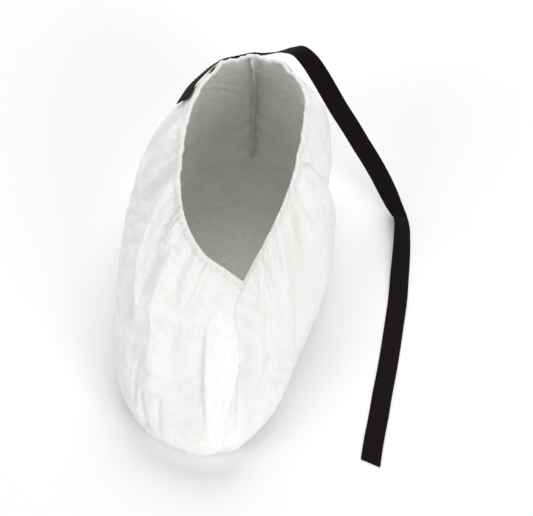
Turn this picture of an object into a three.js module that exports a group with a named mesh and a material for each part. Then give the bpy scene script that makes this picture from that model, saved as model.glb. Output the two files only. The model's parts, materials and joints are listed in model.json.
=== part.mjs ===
// Anti-static shoe cover, in millimetres: a soft hollow bag that is worn over a foot, with an elastic
// opening round the ankle and a black conductive ribbon. The ribbon is sewn round the back of the heel,
// hangs down from there and lies on the floor beside the cover.
// -Y is the toe, +Y the heel, +X the side that the ribbon's tail lies on, and +Z is up. The origin is on
// the floor, under the middle of the cover.
import * as THREE from "three";

// ---- Driving dimensions ---------------------------------------------------------------------------

const HALF_WIDTH = 66; // half of the plan's plain oval, side to side
const HALF_LENGTH = 142; // half of the cover's length, toe to heel
const SOLE_INSET = 14; // the sole's edge lies this far inside the widest outline
const WALL = 1.2; // cloth with its fine crumples
const GAP = 0.3; // clearance between neighbouring pieces

const COLUMNS = 52; // mesh steps of one side wall from toe seam to heel seam
const ROWS = 17; // mesh steps of one side wall from sole to elastic edge
const BELLY_SHARE = 0.3; // the part of a wall's rows that lies below its widest point
const GIRTH = 300; // toe seam to heel seam along one wall, as a scale for the folds
const RISE = 150; // sole to elastic edge along one wall, as a scale for the folds

const GATHERS = 13; // pleats of the elastic edge on each side
const GATHER_DEPTH = 1.3; // from the mean surface to a pleat's crest

const SEAM_WIDTH = 1.2; // the two turned edges, side by side
const SEAM_DEPTH = 5; // seam allowance inside the cover
const SEAM_SINK = 0.5; // the seam lies this far below the cloth beside it

const HEM_HEIGHT = 5.5; // elastic casing, edge to edge
const HEM_THICKNESS = 2.8; // elastic with the cloth folded round it
const HEM_CLEARANCE = 1; // down a wall, which at the V is oblique to the hem and leaves about GAP

const RIBBON_WIDTH = 13;
const RIBBON_THICKNESS = 1.2;

// ---- Small helpers --------------------------------------------------------------------------------

const vec = (x, y, z) => new THREE.Vector3(x, y, z);
const { clamp, lerp, smoothstep } = THREE.MathUtils;

// Smooth interpolation of one named column of a table, whose rows are sorted by their column `at`.
function column(rows, key, at) {
  const last = rows.length - 1;
  const next = rows.findIndex((row) => row.at >= at);
  const i = clamp(next < 0 ? last : next, 1, last);
  const row = (k) => rows[clamp(k, 0, last)];
  const slope = (k) => (row(k + 1)[key] - row(k - 1)[key]) / (row(k + 1).at - row(k - 1).at);
  const span = row(i).at - row(i - 1).at;
  const s = clamp((at - row(i - 1).at) / span, 0, 1);
  const ease = s * s * (3 - 2 * s);
  const leaving = s * (1 - s) * (1 - s) * span * slope(i - 1);
  const arriving = s * s * (s - 1) * span * slope(i);
  return lerp(row(i - 1)[key], row(i)[key], ease) + leaving + arriving;
}

// A closed mesh through rings of points with the same count. Ring i is joined to ring i + 1, and the
// first and last rings are capped, or joined to each other where the loft is closed.
function loft(rings, closed = false) {
  const sides = rings[0].length;
  const index = [];
  const spans = closed ? rings.length : rings.length - 1;
  for (let i = 0; i < spans; i++) {
    const near = i * sides;
    const far = ((i + 1) % rings.length) * sides;
    for (let j = 0; j < sides; j++) {
      const k = (j + 1) % sides;
      index.push(near + j, near + k, far + k, near + j, far + k, far + j);
    }
  }
  if (!closed) {
    const end = (rings.length - 1) * sides;
    for (let j = 1; j < sides - 1; j++) {
      index.push(0, j + 1, j, end, end + j, end + j + 1);
    }
  }
  const geometry = new THREE.BufferGeometry().setFromPoints(rings.flat());
  geometry.setIndex(index);
  return facingOut(geometry);
}

// Turns a closed mesh's faces outward, if its enclosed volume comes out negative.
function facingOut(geometry) {
  const index = geometry.index.array;
  const corner = (k) => vec().fromBufferAttribute(geometry.attributes.position, index[k]);
  let volume = 0;
  for (let k = 0; k < index.length; k += 3) {
    volume += corner(k).dot(corner(k + 1).cross(corner(k + 2)));
  }
  if (volume < 0) {
    index.reverse();
  }
  geometry.computeVertexNormals();
  return geometry;
}

// ---- The cover's smooth form ----------------------------------------------------------------------

// One row for each section through a side wall, from the toe seam (at 0) round to the heel seam (at 1).
// belly is the wall's widest point, edge its elastic edge. Below the edge the cloth stands out by puff
// and falls by drop before it turns down to the belly.
const OUTER_WALL = [
  { at: 0, bellyX: 13, bellyY: -139, bellyZ: 15, edgeX: 17, edgeY: -47, edgeZ: 73, puff: 40, drop: 18 },
  { at: 0.1, bellyX: -11, bellyY: -138, bellyZ: 17, edgeX: 5, edgeY: -41, edgeZ: 77, puff: 36, drop: 16 },
  { at: 0.22, bellyX: -43, bellyY: -121, bellyZ: 22, edgeX: -10, edgeY: -33, edgeZ: 82, puff: 30, drop: 13 },
  { at: 0.35, bellyX: -63.5, bellyY: -83, bellyZ: 29, edgeX: -23, edgeY: -15, edgeZ: 89, puff: 22, drop: 10 },
  { at: 0.5, bellyX: -69, bellyY: -30, bellyZ: 36, edgeX: -30, edgeY: 8, edgeZ: 97, puff: 18, drop: 9 },
  { at: 0.65, bellyX: -70, bellyY: 28, bellyZ: 43, edgeX: -32, edgeY: 38, edgeZ: 105, puff: 14, drop: 8 },
  { at: 0.8, bellyX: -62, bellyY: 84, bellyZ: 49, edgeX: -28, edgeY: 76, edgeZ: 112, puff: 11, drop: 8 },
  { at: 0.92, bellyX: -34, bellyY: 130, bellyZ: 52, edgeX: -13, edgeY: 104, edgeZ: 117, puff: 8, drop: 8 },
  { at: 1, bellyX: 4, bellyY: 142, bellyZ: 53, edgeX: 6, edgeY: 111, edgeZ: 120, puff: 7, drop: 8 },
];
const INNER_WALL = [
  { at: 0, bellyX: 13, bellyY: -139, bellyZ: 15, edgeX: 17, edgeY: -47, edgeZ: 73, puff: 40, drop: 18 },
  { at: 0.08, bellyX: 24, bellyY: -131, bellyZ: 19, edgeX: 21, edgeY: -37, edgeZ: 77, puff: 36, drop: 16 },
  { at: 0.2, bellyX: 44, bellyY: -101, bellyZ: 24, edgeX: 27, edgeY: -24, edgeZ: 83, puff: 30, drop: 12 },
  { at: 0.35, bellyX: 56, bellyY: -57, bellyZ: 31, edgeX: 36, edgeY: -1, edgeZ: 93, puff: 21, drop: 10 },
  { at: 0.5, bellyX: 68, bellyY: -5, bellyZ: 38, edgeX: 42, edgeY: 22, edgeZ: 102, puff: 16, drop: 9 },
  { at: 0.65, bellyX: 69, bellyY: 45, bellyZ: 44, edgeX: 45, edgeY: 52, edgeZ: 111, puff: 14, drop: 8 },
  { at: 0.8, bellyX: 58, bellyY: 94, bellyZ: 49, edgeX: 43, edgeY: 82, edgeZ: 118, puff: 13, drop: 8 },
  { at: 0.92, bellyX: 38, bellyY: 131, bellyZ: 52, edgeX: 26, edgeY: 104, edgeZ: 121, puff: 9, drop: 8 },
  { at: 1, bellyX: 4, bellyY: 142, bellyZ: 53, edgeX: 6, edgeY: 111, edgeZ: 120, puff: 7, drop: 8 },
];

const OUTER = { name: "outer", sign: -1, sections: OUTER_WALL };
const INNER = { name: "inner", sign: 1, sections: INNER_WALL };

// A point of the wall's smooth outer surface. share is 0 at the sole's edge and 1 at the elastic edge.
function smoothWall(side, at, share) {
  const read = (key) => column(side.sections, key, at);
  const belly = vec(read("bellyX"), read("bellyY"), read("bellyZ"));
  const edge = vec(read("edgeX"), read("edgeY"), read("edgeZ"));
  if (share < BELLY_SHARE) {
    const foot = vec(belly.x * (1 - SOLE_INSET / HALF_WIDTH), belly.y * (1 - SOLE_INSET / HALF_LENGTH), 0);
    const curled = foot.clone().lerp(belly, 0.75).setZ(0);
    const standing = belly.clone().setZ(belly.z * 0.4);
    return new THREE.CubicBezierCurve3(foot, curled, standing, belly).getPoint(share / BELLY_SHARE);
  }
  const outward = belly.clone().sub(edge).setZ(0).normalize();
  const standing = belly.clone().setZ(lerp(belly.z, edge.z, 0.4));
  const turned = edge.clone().addScaledVector(outward, read("puff"));
  turned.z -= read("drop");
  const curve = new THREE.CubicBezierCurve3(belly, standing, turned, edge);
  return curve.getPoint((share - BELLY_SHARE) / (1 - BELLY_SHARE));
}

// ---- Folds and gathers ----------------------------------------------------------------------------

// One row for each fold, as a run over a wall through three places, given like a wall's at and share.
// A positive depth is a valley and a negative one a ridge, and width is from its line to its flank.
const FOLDS = [
  // outer wall: two long valleys from the opening towards the toe, with soft ridges between them
  { side: OUTER, at: [0.6, 0.52, 0.4], share: [0.88, 0.66, 0.47], width: 7, depth: 3 },
  { side: OUTER, at: [0.49, 0.42, 0.29], share: [0.95, 0.78, 0.56], width: 6.5, depth: 3 },
  { side: OUTER, at: [0.7, 0.56, 0.42], share: [0.88, 0.68, 0.44], width: 10, depth: -2 },
  { side: OUTER, at: [0.52, 0.45, 0.35], share: [0.9, 0.75, 0.56], width: 6, depth: -1.6 },
  { side: OUTER, at: [0.36, 0.33, 0.24], share: [0.92, 0.8, 0.62], width: 8, depth: -2 },
  // outer wall: a sharp crease on the toe, a broad flat ridge beside it, and the toe's turned corner
  { side: OUTER, at: [0.14, 0.11, 0.06], share: [0.84, 0.68, 0.46], width: 4, depth: 2.6 },
  { side: OUTER, at: [0.07, 0.04, 0.02], share: [0.8, 0.62, 0.42], width: 9, depth: -1.6 },
  { side: OUTER, at: [0.26, 0.23, 0.2], share: [0.42, 0.38, 0.34], width: 5, depth: 2 },
  { side: OUTER, at: [0.16, 0.1, 0.03], share: [0.33, 0.34, 0.34], width: 5, depth: -1.4 },
  { side: OUTER, at: [0.86, 0.84, 0.82], share: [0.92, 0.74, 0.5], width: 9, depth: 2.4 },
  // inner wall: a valley that parts the instep from the side, with a full lobe behind it
  { side: INNER, at: [0.44, 0.39, 0.34], share: [0.96, 0.7, 0.34], width: 9, depth: 5 },
  { side: INNER, at: [0.31, 0.3, 0.28], share: [0.85, 0.6, 0.38], width: 9, depth: -2 },
  { side: INNER, at: [0.53, 0.5, 0.46], share: [0.86, 0.62, 0.36], width: 15, depth: -3 },
  // inner wall: a deep notch in front of the heel, and the heel's bulge
  { side: INNER, at: [0.59, 0.68, 0.71], share: [0.95, 0.66, 0.24], width: 9, depth: 7 },
  { side: INNER, at: [0.77, 0.79, 0.8], share: [0.9, 0.72, 0.5], width: 13, depth: -3 },
  { side: INNER, at: [0.88, 0.87, 0.88], share: [0.92, 0.74, 0.52], width: 9, depth: 2.4 },
  // inner wall: small creases on the instep
  { side: INNER, at: [0.17, 0.15, 0.13], share: [0.92, 0.82, 0.7], width: 4.5, depth: 1.6 },
  { side: INNER, at: [0.13, 0.12, 0.11], share: [0.6, 0.57, 0.53], width: 6, depth: 1.8 },
  { side: INNER, at: [0.36, 0.38, 0.4], share: [0.86, 0.81, 0.75], width: 4, depth: 1.6 },
];
const FOLD_STEPS = 8;

// How far the folds push the wall in (below zero) or out at one place.
function foldHeight(side, at, share) {
  let height = 0;
  for (const fold of FOLDS.filter((row) => row.side === side)) {
    const places = fold.at.map((a, k) => vec(a * GIRTH, fold.share[k] * RISE, 0));
    const line = new THREE.QuadraticBezierCurve3(...places).getPoints(FOLD_STEPS);
    const here = vec(at * GIRTH, share * RISE, 0);
    const near = vec();
    let distance = Infinity;
    for (let k = 0; k < FOLD_STEPS; k++) {
      new THREE.Line3(line[k], line[k + 1]).closestPointToPoint(here, true, near);
      distance = Math.min(distance, near.distanceTo(here));
    }
    height -= fold.depth * Math.exp(-((distance / fold.width) ** 2));
  }
  const clearOfSole = smoothstep(share, 0.08, 0.3);
  const clearOfSeams = smoothstep(at, 0, 0.04) * smoothstep(1 - at, 0, 0.04);
  return height * clearOfSole * clearOfSeams;
}

// The pleats that the elastic gathers, which fade out down the wall.
function gatherHeight(at, share) {
  const pleat = Math.cos(2 * Math.PI * GATHERS * at);
  const uneven = 0.7 + 0.3 * Math.cos(2 * Math.PI * 3 * at + 1);
  const spread = smoothstep(share, 0.5, 0.88) * (1 - 0.5 * smoothstep(share, 0.88, 1));
  return GATHER_DEPTH * pleat * uneven * spread;
}

// The direction out of a surface that is given as a function of (side, at, share).
function outwardNormal(surface, side, at, share) {
  const step = 0.004;
  const before = surface(side, Math.max(at - step, 0), share);
  const after = surface(side, Math.min(at + step, 1), share);
  const below = surface(side, at, Math.max(share - step, 0));
  const above = surface(side, at, Math.min(share + step, 1));
  const along = after.sub(before);
  const up = above.sub(below);
  const normal = up.cross(along).multiplyScalar(-side.sign);
  if (at === 0 || at === 1) {
    normal.x = 0; // both walls meet square at a seam
  }
  return normal.normalize();
}

// A point of the wall's real outer surface, and the direction out of it there.
function wallPoint(side, at, share) {
  const height = foldHeight(side, at, share) + gatherHeight(at, share);
  return smoothWall(side, at, share).addScaledVector(outwardNormal(smoothWall, side, at, share), height);
}
const wallNormal = (side, at, share) => outwardNormal(wallPoint, side, at, share);

// The share at which a point of the wall lies a distance below the elastic edge.
function shareBelowEdge(side, at, distance) {
  const top = smoothWall(side, at, 1);
  let low = BELLY_SHARE;
  let high = 1;
  for (let k = 0; k < 14; k++) {
    const middle = (low + high) / 2;
    if (smoothWall(side, at, middle).distanceTo(top) > distance) {
      low = middle;
    } else {
      high = middle;
    }
  }
  return high;
}

// ---- Cloth pieces ---------------------------------------------------------------------------------

const SEAM_CLEARANCE = SEAM_WIDTH / 2 + GAP; // from a seam's middle to the cloth beside it
const SEAM_MARGIN = 0.1; // the share of a wall that makes room for the seam

// One side wall: a sheet of points on the outside, the same sheet WALL further in, and their borders.
function sidePanel(side) {
  const points = [];
  const rows = ROWS + 1;
  for (const depth of [0, WALL]) {
    for (let i = 0; i <= COLUMNS; i++) {
      const at = i / COLUMNS;
      const top = shareBelowEdge(side, at, HEM_HEIGHT + HEM_CLEARANCE);
      for (let j = 0; j <= ROWS; j++) {
        const share = (top * j) / ROWS;
        const point = wallPoint(side, at, share).addScaledVector(wallNormal(side, at, share), -depth);
        const nearSeam = Math.max(0, 1 - Math.min(at, 1 - at) / SEAM_MARGIN);
        point.x += side.sign * SEAM_CLEARANCE * nearSeam;
        points.push(point);
      }
    }
  }
  const sheet = (COLUMNS + 1) * rows;
  const index = [];
  const quad = (a, b, c, d) => index.push(a, b, c, a, c, d);
  for (let i = 0; i < COLUMNS; i++) {
    for (let j = 0; j < ROWS; j++) {
      const k = i * rows + j;
      quad(k, k + rows, k + rows + 1, k + 1);
      quad(sheet + k, sheet + k + 1, sheet + k + rows + 1, sheet + k + rows);
    }
    const bottom = i * rows;
    const top = bottom + ROWS;
    quad(bottom, sheet + bottom, sheet + bottom + rows, bottom + rows);
    quad(top, top + rows, sheet + top + rows, sheet + top);
  }
  for (let j = 0; j < ROWS; j++) {
    const end = COLUMNS * rows + j;
    quad(j, j + 1, sheet + j + 1, sheet + j);
    quad(end, sheet + end, sheet + end + 1, end + 1);
  }
  const geometry = new THREE.BufferGeometry().setFromPoints(points);
  geometry.setIndex(index);
  return facingOut(geometry);
}

// A seam: the two walls' edges turned inward together, between the walls at a toe or heel seam.
function seam(at) {
  const top = shareBelowEdge(INNER, at, HEM_HEIGHT + HEM_CLEARANCE);
  const rings = [];
  for (let j = 0; j <= ROWS; j++) {
    const share = (top * j) / ROWS;
    const inward = wallNormal(INNER, at, share).negate();
    const surface = wallPoint(INNER, at, share);
    const crest = surface.clone().addScaledVector(inward, SEAM_SINK);
    const end = surface.clone().addScaledVector(inward, WALL + SEAM_DEPTH);
    const half = vec(SEAM_WIDTH / 2, 0, 0);
    rings.push([
      crest.clone().sub(half),
      crest.clone().add(half),
      end.clone().add(half),
      end.clone().sub(half),
    ]);
  }
  return loft(rings);
}

// The sole: a flat oval inside the side walls' lower edges.
function sole() {
  const clearance = 1.5 * GAP; // more than GAP, because it is measured towards the middle of the oval
  const lowerEdge = (side, i) => smoothWall(side, i / COLUMNS, 0);
  const rim = [];
  for (let i = 0; i <= COLUMNS; i++) {
    rim.push(lowerEdge(OUTER, i));
  }
  for (let i = COLUMNS - 1; i > 0; i--) {
    rim.push(lowerEdge(INNER, i));
  }
  const outline = rim.map((point) => point.multiplyScalar(1 - clearance / point.length()));
  const shape = new THREE.Shape(outline.map((point) => new THREE.Vector2(point.x, point.y)));
  return new THREE.ExtrudeGeometry(shape, { depth: WALL, bevelEnabled: false });
}

// ---- Elastic hem ----------------------------------------------------------------------------------

const HEM_SECTION = [
  // across the casing's height and its thickness, as shares of each
  [-0.5, -0.25],
  [0, -0.5],
  [0.5, -0.25],
  [0.5, 0.25],
  [0, 0.5],
  [-0.5, 0.25],
];

// The casing's section over one place of the elastic edge.
function hemRing(side, at) {
  const start = shareBelowEdge(side, at, HEM_HEIGHT);
  const lower = wallPoint(side, at, start);
  const upper = wallPoint(side, at, 1);
  const out = wallNormal(side, at, start);
  const middle = lower.clone().lerp(upper, 0.5).addScaledVector(out, -WALL / 2);
  const rise = upper.clone().sub(lower);
  return HEM_SECTION.map(([high, thick]) =>
    middle.clone().addScaledVector(rise, high).addScaledVector(out, thick * HEM_THICKNESS),
  );
}

function openingHem() {
  const rings = [];
  for (let i = 0; i < COLUMNS; i++) {
    rings.push(hemRing(OUTER, i / COLUMNS));
  }
  for (let i = COLUMNS; i > 0; i--) {
    rings.push(hemRing(INNER, i / COLUMNS));
  }
  return loft(rings, true);
}

// ---- Conductive ribbon ----------------------------------------------------------------------------

// A flat strip with softened edges. Each frame holds a place, and the strip's directions there.
function strip(frames) {
  const edge = RIBBON_WIDTH / 2;
  const face = RIBBON_THICKNESS / 2;
  const section = [
    [-edge, -face / 3],
    [-edge + face, -face],
    [edge - face, -face],
    [edge, -face / 3],
    [edge, face / 3],
    [edge - face, face],
    [-edge + face, face],
    [-edge, face / 3],
  ];
  return loft(
    frames.map(({ place, across, out }) =>
      section.map(([a, b]) => place.clone().addScaledVector(across, a).addScaledVector(out, b)),
    ),
  );
}

const ANCHOR_DROP = 12; // the sewn ribbon's middle lies this far below the elastic edge
const ANCHOR_FROM = 0.8; // the sewn ribbon's end on the outer wall, from where it runs to the heel seam
const ANCHOR_STEPS = 14;

// The sewn ribbon lies over the crests of the gathers, round the back of the heel.
function anchorFrame(at) {
  const share = shareBelowEdge(OUTER, at, ANCHOR_DROP);
  const out = outwardNormal(smoothWall, OUTER, at, share);
  const lift = GATHER_DEPTH + GAP + RIBBON_THICKNESS / 2;
  const place = smoothWall(OUTER, at, share).addScaledVector(out, lift);
  const up = smoothWall(OUTER, at, share + 0.01).sub(smoothWall(OUTER, at, share - 0.01));
  return { place, out, across: up.addScaledVector(out, -up.dot(out)).normalize() };
}

function ribbonAnchor() {
  const frames = [];
  for (let i = 0; i <= ANCHOR_STEPS; i++) {
    frames.push(anchorFrame(lerp(ANCHOR_FROM, 1, i / ANCHOR_STEPS)));
  }
  return strip(frames);
}

// The free ribbon's middle line, from the heel down to the floor and along it.
const TAIL_ROUTE = [
  [6.4, 120.3, 111.8],
  [13, 120.6, 112.4],
  [20.5, 120.6, 114.8],
  [28.5, 120, 118],
  [36.5, 118, 119.8],
  [44, 113.5, 116.3],
  [51, 108.5, 109],
  [58, 104, 99],
  [66, 100, 86],
  [74, 97.5, 73],
  [82, 95, 59],
  [90, 93, 45],
  [97, 91.5, 31],
  [103, 90, 18],
  [108, 87, 8.5],
  [112.5, 81, 3.2],
  [114.8, 73, 1.2],
  [115.6, 62, 0.7],
  [116, 48, 0.7],
  [116, 28, 0.7],
  [116, 7, 0.7],
  [115, -14, 0.7],
  [114, -33, 0.7],
  [112.7, -53, 0.7],
  [111, -72, 0.7],
  [109.6, -92, 0.7],
  [108, -110, 0.7],
  [107, -128, 0.7],
].map((place) => vec(...place));
const TAIL_STEPS = 72;
const ACROSS_AT_HEEL = vec(0.04, -0.58, 0.82); // the strip's width where it leaves the heel,
const ACROSS_HANGING = vec(0.81, 0.49, 0.34); // where it hangs,
const ACROSS_ON_FLOOR = vec(1, 0, 0); // and where it lies flat

function ribbonTail() {
  const curve = new THREE.CatmullRomCurve3(TAIL_ROUTE);
  const frames = [];
  for (let i = 0; i <= TAIL_STEPS; i++) {
    const share = i / TAIL_STEPS;
    const place = curve.getPointAt(share);
    const along = curve.getTangentAt(share);
    const across = ACROSS_AT_HEEL.clone().lerp(ACROSS_HANGING, smoothstep(share, 0, 0.14));
    across.lerp(ACROSS_ON_FLOOR, 1 - smoothstep(place.z, 6, 30));
    across.addScaledVector(along, -across.dot(along)).normalize();
    frames.push({ place, across, out: along.clone().cross(across) });
  }
  return strip(frames);
}

// ---- Assembly -------------------------------------------------------------------------------------

const cloth = (color) => new THREE.MeshStandardMaterial({ color, roughness: 0.85, metalness: 0 });
const ribbon = (color) => new THREE.MeshStandardMaterial({ color, roughness: 0.6, metalness: 0 });

const group = new THREE.Group();
group.name = "anti_static_shoe_cover";

function add(name, geometry, material) {
  const mesh = new THREE.Mesh(geometry, material);
  mesh.name = name;
  group.add(mesh);
}

add("outer_side_panel", sidePanel(OUTER), cloth("#f3f2ef"));
add("inner_side_panel", sidePanel(INNER), cloth("#f3f2ef"));
add("sole_panel", sole(), cloth("#ecebe7"));
add("front_seam", seam(0), cloth("#e9e8e4"));
add("back_seam", seam(1), cloth("#e9e8e4"));
add("opening_hem", openingHem(), cloth("#f5f4f1"));
add("ribbon_anchor", ribbonAnchor(), ribbon("#1f1715"));
add("ribbon_tail", ribbonTail(), ribbon("#1f1715"));

export default group;
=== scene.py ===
# %% [markdown]
# # An anti-static shoe cover
# A shoe cover is a light bag of white nonwoven cloth. Two side panels are sewn together over the toe
# and down the heel, a sole panel closes them below, and an elastic hem draws the opening in round
# the ankle. A black conductive ribbon is sewn round the back of the heel, and its free tail carries
# static charge away. This lesson dresses a plain solid model of the cover, which is loaded first.
# Nothing of that frame is moved: every new piece is made in the same place, in metres.

# %% Load the frame
import json
import math

import bpy
import numpy as np
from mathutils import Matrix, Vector

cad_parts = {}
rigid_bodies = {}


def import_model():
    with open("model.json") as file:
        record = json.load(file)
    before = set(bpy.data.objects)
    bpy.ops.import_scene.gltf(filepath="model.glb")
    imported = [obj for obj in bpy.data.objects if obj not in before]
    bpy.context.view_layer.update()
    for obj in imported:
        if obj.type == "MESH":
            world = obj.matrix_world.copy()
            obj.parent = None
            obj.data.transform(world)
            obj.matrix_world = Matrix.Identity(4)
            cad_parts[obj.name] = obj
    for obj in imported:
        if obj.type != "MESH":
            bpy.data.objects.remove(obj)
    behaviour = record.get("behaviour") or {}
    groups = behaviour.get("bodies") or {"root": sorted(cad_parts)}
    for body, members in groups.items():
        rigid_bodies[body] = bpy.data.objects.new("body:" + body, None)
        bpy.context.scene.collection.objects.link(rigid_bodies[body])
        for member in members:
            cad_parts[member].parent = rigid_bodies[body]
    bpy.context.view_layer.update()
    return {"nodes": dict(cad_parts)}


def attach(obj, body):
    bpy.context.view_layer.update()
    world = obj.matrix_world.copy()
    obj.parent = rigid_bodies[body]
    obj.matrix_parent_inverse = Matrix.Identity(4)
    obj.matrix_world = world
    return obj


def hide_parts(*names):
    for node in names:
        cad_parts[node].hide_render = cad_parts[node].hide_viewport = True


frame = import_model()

print("nodes:", sorted(frame["nodes"]))

# %% [markdown]
# ## The camera
# A product picture of a cover on a standing foot is taken from in front and well above, so that the
# opening, the toe and the tail all show. A long lens from more than a metre away keeps the toe from
# looking larger than the heel. The camera is placed by its direction from the point it looks at.

# %% Place the camera
VIEW_AZIMUTH = math.radians(6)
VIEW_HEIGHT = math.radians(50)
VIEW_DISTANCE = 1.3
LOOK_AT = Vector((0.027, 0.0, 0.042))


def add_object(name, data):
    """A new object with this data, in the scene."""
    thing = bpy.data.objects.new(name, data)
    bpy.context.collection.objects.link(thing)
    return thing


towards_camera = Vector((
    math.sin(VIEW_AZIMUTH) * math.cos(VIEW_HEIGHT),
    -math.cos(VIEW_AZIMUTH) * math.cos(VIEW_HEIGHT),
    math.sin(VIEW_HEIGHT),
))
camera_data = bpy.data.cameras.new("camera")
camera_data.lens = 132
camera_data.sensor_width = 36
camera = add_object("camera", camera_data)
camera.location = LOOK_AT + towards_camera * VIEW_DISTANCE
camera.rotation_euler = (-towards_camera).to_track_quat("-Z", "Y").to_euler()
bpy.context.scene.camera = camera
print("camera at", [round(v, 3) for v in camera.location])

# %% [markdown]
# ## Helpers for cloth
# Cloth is a sheet, so each cloth piece starts as a net of points with rows and columns, and a mesh of
# quads is laid over the net. The net also gives every point its place on the flat cloth, in
# millimetres, which is kept as the UV map: the weave and the emboss then follow every fold. A tube is
# the same net with its columns joined round.

# %% Build a sheet from a net of points
MM = 0.001
UV_UNIT = 100.0  # millimetres of cloth for one unit of the UV map
CLOTH_THICKNESS = 0.4


def unit(vectors):
    return vectors / np.linalg.norm(vectors, axis=-1, keepdims=True)


def lengths(line):
    """How far along a line each of its points lies."""
    return np.concatenate([[0], np.cumsum(np.linalg.norm(np.diff(line, axis=0), axis=1))])


def make_active(piece):
    for thing in bpy.context.view_layer.objects:
        thing.select_set(False)
    piece.select_set(True)
    bpy.context.view_layer.objects.active = piece


def sheet_object(name, net, flat, wrap_across=False, wrap_along=False):
    """A quad sheet. net is (rows, columns, 3) in millimetres and flat is (rows, columns, 2)."""
    rows, columns = net.shape[:2]
    number = np.arange(rows * columns).reshape(rows, columns)
    down = rows if wrap_along else rows - 1
    across = columns if wrap_across else columns - 1
    i, j = np.meshgrid(np.arange(down), np.arange(across), indexing="ij")
    i2, j2 = (i + 1) % rows, (j + 1) % columns
    faces = np.stack([number[i, j], number[i2, j], number[i2, j2], number[i, j2]], -1).reshape(-1, 4)
    mesh = bpy.data.meshes.new(name)
    mesh.from_pydata((net.reshape(-1, 3) * MM).tolist(), [], faces.tolist())
    place = flat.reshape(-1, 2)[faces].astype(float)
    if wrap_along:  # the faces that close the net end one whole round further on the flat cloth
        place[(i == rows - 1).reshape(-1), 1:3, 0] += flat[-1, 0, 0] + flat[1, 0, 0] - 2 * flat[0, 0, 0]
    if wrap_across:
        place[(j == columns - 1).reshape(-1), 2:4, 1] += flat[0, -1, 1] + flat[0, 1, 1] - 2 * flat[0, 0, 1]
    mesh.uv_layers.new(name="cloth").data.foreach_set("uv", (place / UV_UNIT).reshape(-1))
    return add_object(name, mesh)


def finish_faces(piece, close_ends=False):
    """Turns the faces outward and shades them smooth. close_ends fills a tube's open ends first."""
    make_active(piece)
    bpy.ops.object.mode_set(mode="EDIT")
    if close_ends:
        bpy.ops.mesh.select_mode(type="EDGE")
        bpy.ops.mesh.select_all(action="DESELECT")
        bpy.ops.mesh.select_non_manifold()
        bpy.ops.mesh.edge_face_add()
    bpy.ops.mesh.select_all(action="SELECT")
    bpy.ops.mesh.normals_make_consistent(inside=False)
    bpy.ops.object.mode_set(mode="OBJECT")
    bpy.ops.object.shade_smooth()


def tube_object(name, net, along, around, ring=False):
    """A tube from a net whose columns go round it. It is closed into a ring, or has filled ends."""
    flat = np.stack(np.broadcast_arrays(along[:, None], around[None]), -1)
    piece = sheet_object(name, net, flat, wrap_across=True, wrap_along=ring)
    finish_faces(piece, close_ends=not ring)
    return piece


def thicken(piece):
    """Gives a sheet the thickness of nonwoven, inward, so that its outside keeps its place."""
    make_active(piece)
    modifier = piece.modifiers.new("cloth_thickness", "SOLIDIFY")
    modifier.thickness, modifier.offset = CLOTH_THICKNESS * MM, -1
    bpy.ops.object.modifier_apply(modifier=modifier.name)
    bpy.ops.object.shade_smooth()


def finish_piece(piece, material, slot, *nodes):
    """The last steps of every piece: its finish, and its place in the frame."""
    piece.data.materials.clear()
    piece.data.materials.append(material)
    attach(piece, "root")
    if nodes:
        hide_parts(*nodes)
    print(f"{piece.name}: {len(piece.data.polygons)} faces")


# %% [markdown]
# ## The free ribbon
# The tail is a woven tape, 13 mm wide. It leaves the heel seam flat against the cloth, turns over
# beside the heel, hangs down and runs along the floor to its cut end. A curve object could carry a
# flat profile, but its twist is hard to steer. So the tape is a net: a smooth line through the route's
# points, and at each step a flat section across it, whose direction turns as the tape does.

# %% Follow the ribbon's route
RIBBON_WIDTH = 13.0
RIBBON_THICKNESS = 0.7
TAIL_ROUTE = [
    (6.4, 120.3, 111.8), (13, 120.6, 112.4), (20.5, 120.6, 114.8), (28.5, 120, 118),
    (36.5, 118, 119.8), (44, 113.5, 116.3), (51, 108.5, 109), (58, 104, 99),
    (66, 100, 86), (74, 97.5, 73), (82, 95, 59), (90, 93, 45),
    (97, 91.5, 31), (103, 90, 18), (108, 87, 8.5), (112.5, 81, 3.2),
    (114.8, 73, 1.2), (115.6, 62, 0.7), (116, 48, 0.7), (116, 28, 0.7),
    (116, 7, 0.7), (115, -14, 0.7), (114, -33, 0.7), (112.7, -53, 0.7),
    (111, -72, 0.7), (109.6, -92, 0.7), (108, -110, 0.7), (107, -128, 0.7),
]


def smoothstep(value, low, high):
    t = np.clip((value - low) / (high - low), 0, 1)
    return t * t * (3 - 2 * t)


def inside(place, first, last):
    """0 at places 0 and 1, rising to 1 within first of the start and within last of the end."""
    return smoothstep(place, 0, first) * smoothstep(1 - place, 0, last)


def bell(distance, width):
    """1 at a distance of 0, falling off to both sides within about a width."""
    return np.exp(-((distance / width) ** 2))


def read_line(line, along, wanted):
    """The places on a line at the wanted distances along it."""
    return np.stack([np.interp(wanted, along, line[:, k]) for k in range(3)], -1)


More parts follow.
